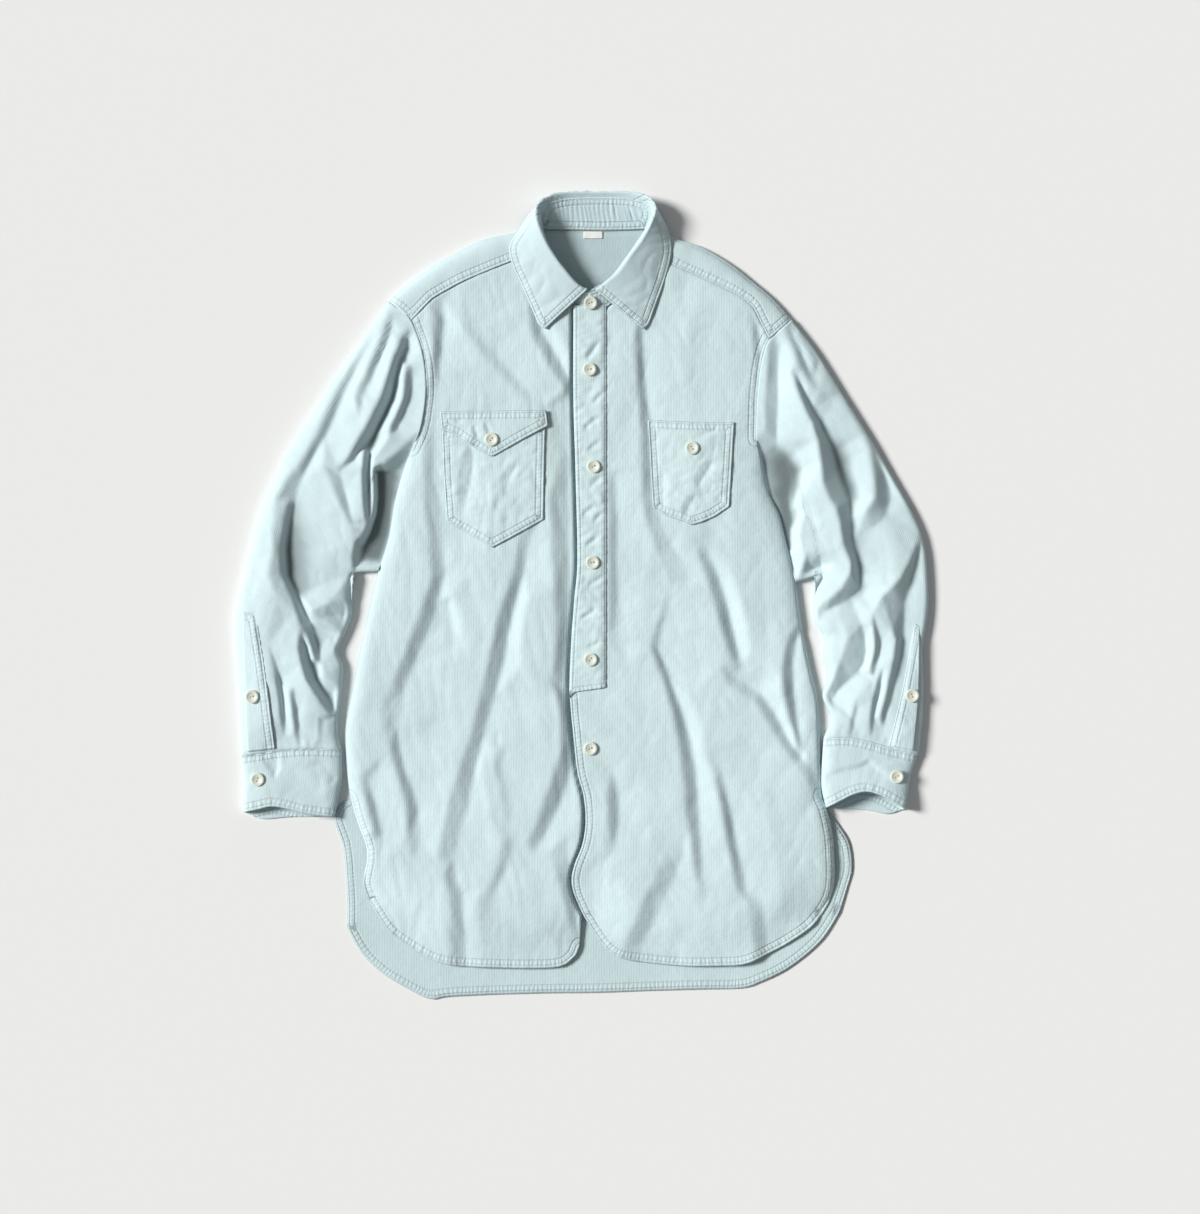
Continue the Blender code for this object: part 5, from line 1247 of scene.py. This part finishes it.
def make_tube(name, node, patches, height, rows, seams, lift, flat_width, across=84, below=24, shift=None,
              painted_fold_shade=None):
    """A flattened tube: an upper layer over a flat lower one, joined along two folded sides."""
    upper, lower = patches
    near_edge = [0.0, 0.35, 1.1, 2.3]

    def spots(column, row):
        column = column % (across + below)
        v = row / rows
        left = upper.at(np.zeros(v.shape), v)
        right = upper.at(np.ones(v.shape), v)
        width = np.maximum(np.linalg.norm(right - left, axis=1), 1)
        share = np.interp(column, range(3, across - 2), np.linspace(0, 1, across - 5))
        from_left = np.interp(column, range(4), near_edge) / width
        from_right = np.interp(across - column, range(4), near_edge) / width
        margin = near_edge[3] / width
        middle = margin + (1 - 2 * margin) * share
        share = np.where(column < 3, from_left, np.where(column > across - 3, 1 - from_right, middle))
        low_share = 1 - (column - across) / below
        low_share = np.clip(low_share, FOLD_DEPTH / width, 1 - FOLD_DEPTH / width)
        over = column <= across
        x, y = np.where(over[:, None], upper.at(share, v), lower.at(low_share, v)).T
        z = np.where(over, layer_middle(height, LEAST_LAYER, x, y) + lift(x, y, v), CLOTH / 2)
        if shift is not None:
            x = x + shift(y, v) * over
        folded = (column == 0) | (column == across)
        return np.column_stack([x, y, np.where(folded, EDGE_MIDDLE, z)])

    def weave(column, row):
        share = np.where(column <= across, column / across, 1 - (column - across) / below)
        return (share - 0.5) * flat_width, 3.0 * row

    return make_cloth(name, [node], across + below, rows, spots, weave=weave, seams=seams, closed=True,
                      painted_fold_shade=painted_fold_shade)


def tube_height(sides, terrain, crown, swell, reach, seed, settings, seams):
    """Upper face of a sleeve or a cuff."""
    lines = [spline(side, 60) for side in sides]
    seam_lines = [spline(seam, 50) for seam in seams]

    def height(x, y):
        gap = np.minimum(nearest_on(lines[0], x, y)[0], nearest_on(lines[1], x, y)[0])
        gathers, swollen = np.zeros(x.shape), swell * smooth_step(gap / 35)
        for number, line in enumerate(seam_lines):
            seam_gap, _, run = nearest_on(line, x, y)
            gathers += pucker(seam_gap, run, seed + 10 * number)
            swollen = swollen * (0.1 + 0.9 * smooth_step(seam_gap / 40))
        top = EDGE_HEIGHT + (crown - EDGE_HEIGHT) * rounding(gap, reach) + swollen
        waves = (0.4 * ripple(x, y * 0.6, 50, seed) + 0.6 * crumple(x, y * 0.6, 60, seed + 3)
                 + 0.35 * crumple(x, y, 24, seed + 7)) - 0.5
        creased = terrain(x, y) * settings.crease_depth * smooth_step(gap / 7)
        return top + waves * smooth_step(gap / 10) + creased + settings.pucker_height * 1000 * gathers
    return height


def make_sleeves(settings):
    """Flattened tubes whose heads lie over the fronts above the turn and under them below it."""
    heights = {}
    heads = {"right": YOKE_ENDS["right"][::-1] + OUTLINE["right armhole"][1:],
             "left": OUTLINE["left armhole"][::-1] + YOKE_ENDS["left"][1:]}
    for side, edges, creases, seed in (("right", ("outer", "inner"), RIGHT_SLEEVE_CREASES, 130),
                                       ("left", ("inner", "outer"), LEFT_SLEEVE_CREASES, 160)):
        left, right = (OUTLINE[f"{side} sleeve {edge}"] for edge in edges)
        cuff_seam = OUTLINE[f"{side} cuff seam"]
        borders = [level(line) for line in (left, right, cuff_seam)]
        borders.append([(x, y, ARMPIT_DROP * smooth_step((ARMHOLE_TURN + 18 - y) / 34))
                        for x, y in spline(heads[side], 40)])
        terrain = Terrain(creases, borders)
        patch = Patch(left, right, heads[side], cuff_seam,
                      ((0, 0), (0, 0), (0, 0), (0, -UNDERLAP)))
        heights[side] = tube_height((left, right), terrain, FRONT_TOP, SLEEVE_RISE, SLEEVE_ROUND, seed,
                                    settings, [heads[side], cuff_seam])

        def lift(x, y, v):
            return -UNDERLAP_DROP * (v > 0.999)

        def head_shift(y, v, inward=1 if side == "right" else -1):
            below_turn = smooth_step((ARMHOLE_TURN + 10 - y) / 20) * smooth_step((y - 40) / 30)
            return inward * HEAD_SHIFT * (v < 0.001) * below_turn

        # Painted shade: 1 in the bottoms of deep folds, where the colour is darkened
        def painted_fold_shade(x, y, terrain=terrain):
            return smooth_step((-terrain(x, y) - FOLD_SHADE_START) / 6)

        obj = make_tube(f"sleeve_{side}_cloth", f"sleeve_{side}", (patch, patch), heights[side], 230, [],
                        lift, SLEEVE_FLAT_WIDTH, shift=head_shift, painted_fold_shade=painted_fold_shade)
    return heights


def make_cuffs(settings):
    """The cuffs' mouths stand open: the upper layer rises towards the lip."""
    for side, edges, rise, seed in (("right", ("outer", "inner"), 2.0, 200),
                                    ("left", ("inner", "outer"), 7.5, 220)):
        left, right = (OUTLINE[f"{side} cuff {edge}"] for edge in edges)
        seam, lip = OUTLINE[f"{side} cuff seam"], OUTLINE[f"{side} cuff lip"]
        upper = Patch(left, right, seam, lip)
        lower = Patch(left, right, seam, OUTLINE[f"{side} cuff under"])
        terrain = Terrain(CUFF_CREASES[side], [level(line) for line in (left, right, seam, lip)])
        height = tube_height((left, right), terrain, CUFF_TOP, 0.4, CUFF_ROUND, seed, settings, [seam, lip])

        def lift(x, y, v, rise=rise):
            return rise * smooth_step((v - 0.3) / 0.7)

        obj = make_tube(f"cuff_{side}_cloth", f"cuff_{side}", (upper, lower), height, 44, [seam, lip], lift,
                        CUFF_FLAT_WIDTH, across=64, below=20)


def make_sleeve_plackets(heights):
    for side, size, share in (("right", (0.030, 0.140), 0.8), ("left", (0.028, 0.130), 0.62)):
        trim = TRIMS[f"sleeve_placket_{side}"]
        seams = [trim.right if side == "right" else trim.left, trim.top]
        gathers = seam_gathers(seams, 240, 0.25)

        def settled(x, y, u, v, side=side, gathers=gathers):
            """The long edge by the sleeve's middle is sewn down, apart from the right one's open slit."""
            inward = u if side == "right" else 1 - u
            sewn = 1 - smooth_step((PLACKET_SLIT_TOP - y) / 12) if side == "right" else 1.0
            drop = smooth_step((inward - 0.7) / 0.3) * 1.6 * sewn + smooth_step((0.12 - v) / 0.12) * 1.4
            return gathers(x, y, u, v) - drop

        obj = sewn_on(f"sleeve_placket_{side}_cloth", f"sleeve_placket_{side}", Patch(*trim), 16, 80,
                      lambda x, y, surface=heights[side]: np.maximum(surface(x, y), LEAST_LAYER + CLOTH),
                      LIFT, seams, (), settled)


def between(first, second, share):
    return tuple(a + (b - a) * share for a, b in zip(first, second))


def make_collar():
    """The stand rises from the neckline; the leaf turns over its top and falls outside it."""
    feet = [STAND_UNDERLAP] + [(end.seam, end.top) for end in COLLAR] + [STAND_OVERLAP]
    columns, rows = 240, 14
    stand = [spline([between(foot, top, share) for foot, top in feet], columns + 1)
             for share in np.linspace(0, 1, rows + 1)]

    def stand_spots(column, row):
        spots = np.array([stand[int(r)][int(c)] for c, r in zip(column, row)])
        run = column * 2.4
        waves = np.sin(math.tau * run / 7.5 + 3 * ripple(run, row * 1.2, 40, 14))
        at_back = np.exp(-((column / columns - 0.5) / 0.16) ** 4)
        tall = (0.35 + 0.6 * at_back) * (0.55 + 0.45 * ripple(run, row * 3, 26, 15))
        spots[:, 2] += tall * waves * np.sin(math.pi * row / rows) ** 0.6
        return spots

    def stand_weave(column, row):
        return row * 2.4, column * 2.4

    foot_line, top_line = stand[0][:, :2].tolist(), stand[-1][:, :2].tolist()
    obj = make_cloth("collar_stand_cloth", ["collar_stand"], columns, rows, stand_spots, weave=stand_weave,
                     seams=[top_line, foot_line])

    rows = 34
    station_rows = [[between(end.seam, end.top, 0.9) for end in COLLAR], [end.top for end in COLLAR],
                    [end.roll for end in COLLAR]]
    for share in (0.08, 0.3, 0.55, 0.78, 1.0):
        row = []
        for end in COLLAR:
            x, y, _ = between(end.roll, end.edge, share)
            row.append((x, y, end.edge[2] + (end.roll[2] - end.edge[2]) * (1 - share) ** end.sag))
        station_rows.append(row)
    smooth_rows = np.array([spline(row, columns + 1) for row in station_rows])
    leaf = np.array([spline(smooth_rows[:, column], rows + 1) for column in range(columns + 1)])
    for end, step in ((0, 1), (columns, -1)):
        for near in range(7):
            column = end + step * near
            pull = TIP_ROUND * (1 - near / 7) ** 2
            inner, outer = leaf[column, -6], leaf[column, -1].copy()
            shorter = 1 - pull / np.linalg.norm(outer - inner)
            leaf[column, -6:] = inner + (leaf[column, -6:] - inner) * shorter

    edge_line = leaf[:, -1, :2]

    def leaf_spots(column, row):
        spots = leaf[column.astype(int), row.astype(int)]
        x, y, z = spots.T
        gap, _, run = nearest_on(edge_line, x, y)
        loose = smooth_step((row - 6) / 12)
        z = z + (0.35 * ripple(x, y, 30, 12) + 0.8 * crumple(x, y, 34, 17) - 0.3) * loose
        return np.stack([x, y, z + 0.28 * pucker(gap, run, 18)], axis=1)

    def leaf_weave(column, row):
        return row * 1.6, column * 2.4

    edge = leaf[:, -1, :2].tolist()
    ends = [leaf[0, 4:, :2].tolist(), leaf[-1, 4:, :2].tolist()]
    obj = make_cloth("collar_leaf_cloth", ["collar_leaf"], columns, rows, leaf_spots, weave=leaf_weave,
                     seams=[edge] + ends)


def make_label():
    """Blank, and sewn to the yoke under the back of the neck."""
    x, y, width, depth = NECK_LABEL
    columns, rows = 24, 10

    def spots(column, row):
        u, v = column / columns - 0.5, 0.5 - row / rows
        z = CLOTH + LIFT + 0.35 + 0.15 * np.sin(u * 9) * (0.5 - v)
        return np.stack([x + u * width, y + v * depth, z], axis=1)

    obj = make_cloth("neck_label_cloth", ["neck_label"], columns, rows, spots, thickness=0.5,
                     material="label satin")


def button_mesh():
    """A turned button with a raised rim and a dished middle; its two holes are drilled in make_buttons."""
    bm = bmesh.new()
    profile = [bm.verts.new((radius * MM, 0, height * MM)) for radius, height in BUTTON_PROFILE]
    edges = [bm.edges.new(pair) for pair in zip(profile, profile[1:])]
    bmesh.ops.spin(bm, geom=profile + edges, cent=(0, 0, 0), axis=(0, 0, 1), angle=math.tau, steps=40,
                   use_merge=True)
    bmesh.ops.remove_doubles(bm, verts=bm.verts, dist=1e-6)
    bmesh.ops.recalc_face_normals(bm, faces=bm.faces)
    return bm


def make_buttons():
    """One drilled button, copied to each place and set on the cloth there."""
    blank = bpy.data.meshes.new("button blank")
    bm = button_mesh()
    bm.to_mesh(blank)
    bm.free()
    body = bpy.data.objects.new("button blank", blank)
    bpy.context.collection.objects.link(body)
    drill_mesh = bpy.data.meshes.new("drill")
    bm = bmesh.new()
    for side in (-1, 1):
        bmesh.ops.create_cone(bm, cap_ends=True, segments=16, radius1=0.75 * MM, radius2=0.85 * MM,
                              depth=6 * MM, matrix=Matrix.Translation((side * 1.5 * MM, 0, 1.5 * MM)))
    bm.to_mesh(drill_mesh)
    bm.free()
    drill = bpy.data.objects.new("drill", drill_mesh)
    bpy.context.collection.objects.link(drill)
    cut = body.modifiers.new("Holes", "BOOLEAN")
    cut.operation = "DIFFERENCE"
    cut.solver = "EXACT"
    cut.object = drill
    drilled = bpy.data.meshes.new_from_object(body.evaluated_get(bpy.context.evaluated_depsgraph_get()))
    bpy.data.objects.remove(body)
    bpy.data.objects.remove(drill)

    x, y, z, tilt = COLLAR_BUTTON
    places = [("button_collar", x, y, z, tilt, 0.4)]
    for spot in BUTTONS:
        places.append((spot.node, spot.x, spot.y, seat(spot.x, spot.y) + 0.25, 0, spot.turn))
    for node, x, y, z, tilt, turn in places:
        mesh = drilled.copy()
        mesh.name = node
        mesh.transform(Matrix.Translation(metres(x, y, z)) @ Matrix.Rotation(math.radians(tilt), 4, "X")
                       @ Matrix.Rotation(turn, 4, "Z"))
        mesh.materials.clear()
        mesh.materials.append(material_for("cream resin"))
        mesh.shade_smooth()
        mesh.set_sharp_from_angle(angle=math.radians(40))
        obj = bpy.data.objects.new(f"{node}_resin", mesh)
        bpy.context.collection.objects.link(obj)
        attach(obj, "root")
        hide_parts(node)


def seat(x, y):
    """Height in mm of the highest cloth under a button."""
    highest = 0.0
    for name, piece in MADE.items():
        half = piece.obj.modifiers["Wall"].thickness / MM / 2
        for ring in (0.0, 3.2, 6.0):
            for step in range(8):
                angle = step * math.tau / 8
                height = height_on(name, x + ring * math.cos(angle), y + ring * math.sin(angle))
                if height is not None:
                    highest = max(highest, height + half)
    return highest


def make_stage(scene):
    mesh = bpy.data.meshes.new("floor")
    bm = bmesh.new()
    bmesh.ops.create_grid(bm, x_segments=1, y_segments=1, size=4)
    bmesh.ops.translate(bm, verts=bm.verts, vec=(0, 0, -0.0001))
    bm.to_mesh(mesh)
    bm.free()
    mesh.materials.append(material_for("pale floor"))
    floor = bpy.data.objects.new("floor", mesh)
    bpy.context.collection.objects.link(floor)

    light = bpy.data.lights.new("softbox", "SUN")
    light.angle = math.radians(KEY_SPREAD)
    light.energy = KEY_STRENGTH
    light.color = (1.0, 0.995, 0.98)
    lamp = bpy.data.objects.new("softbox", light)
    lamp.rotation_euler = (-Vector(KEY_FROM)).to_track_quat("-Z", "Y").to_euler()
    bpy.context.collection.objects.link(lamp)

    world = bpy.data.worlds.new("studio")
    world.use_nodes = True
    background = world.node_tree.nodes["Background"]
    background.inputs["Color"].default_value = (0.97, 0.985, 1.0, 1)
    background.inputs["Strength"].default_value = FILL_STRENGTH
    scene.world = world
    scene.view_settings.view_transform = "Standard"

    camera = bpy.data.cameras.new("photo view")
    camera.lens = LENS
    camera.sensor_width = SENSOR
    eye = bpy.data.objects.new("photo view", camera)
    eye.location = metres(*VIEW_MIDDLE, VIEW_WIDTH * LENS / SENSOR + FRONT_TOP)
    bpy.context.collection.objects.link(eye)
    scene.camera = eye


def register():
    for item in (ShirtSettings, *STEPS, ShirtPanel):
        bpy.utils.register_class(item)
    bpy.types.Scene.shirt = bpy.props.PointerProperty(type=ShirtSettings)


def unregister():
    del bpy.types.Scene.shirt
    for item in reversed((ShirtSettings, *STEPS, ShirtPanel)):
        bpy.utils.unregister_class(item)


def main():
    register()
    bpy.ops.shirt.back()
    bpy.ops.shirt.fronts()
    bpy.ops.shirt.sleeves()
    bpy.ops.shirt.collar()
    bpy.ops.shirt.buttons()
    bpy.ops.shirt.stage()


if __name__ == "__main__":
    main()
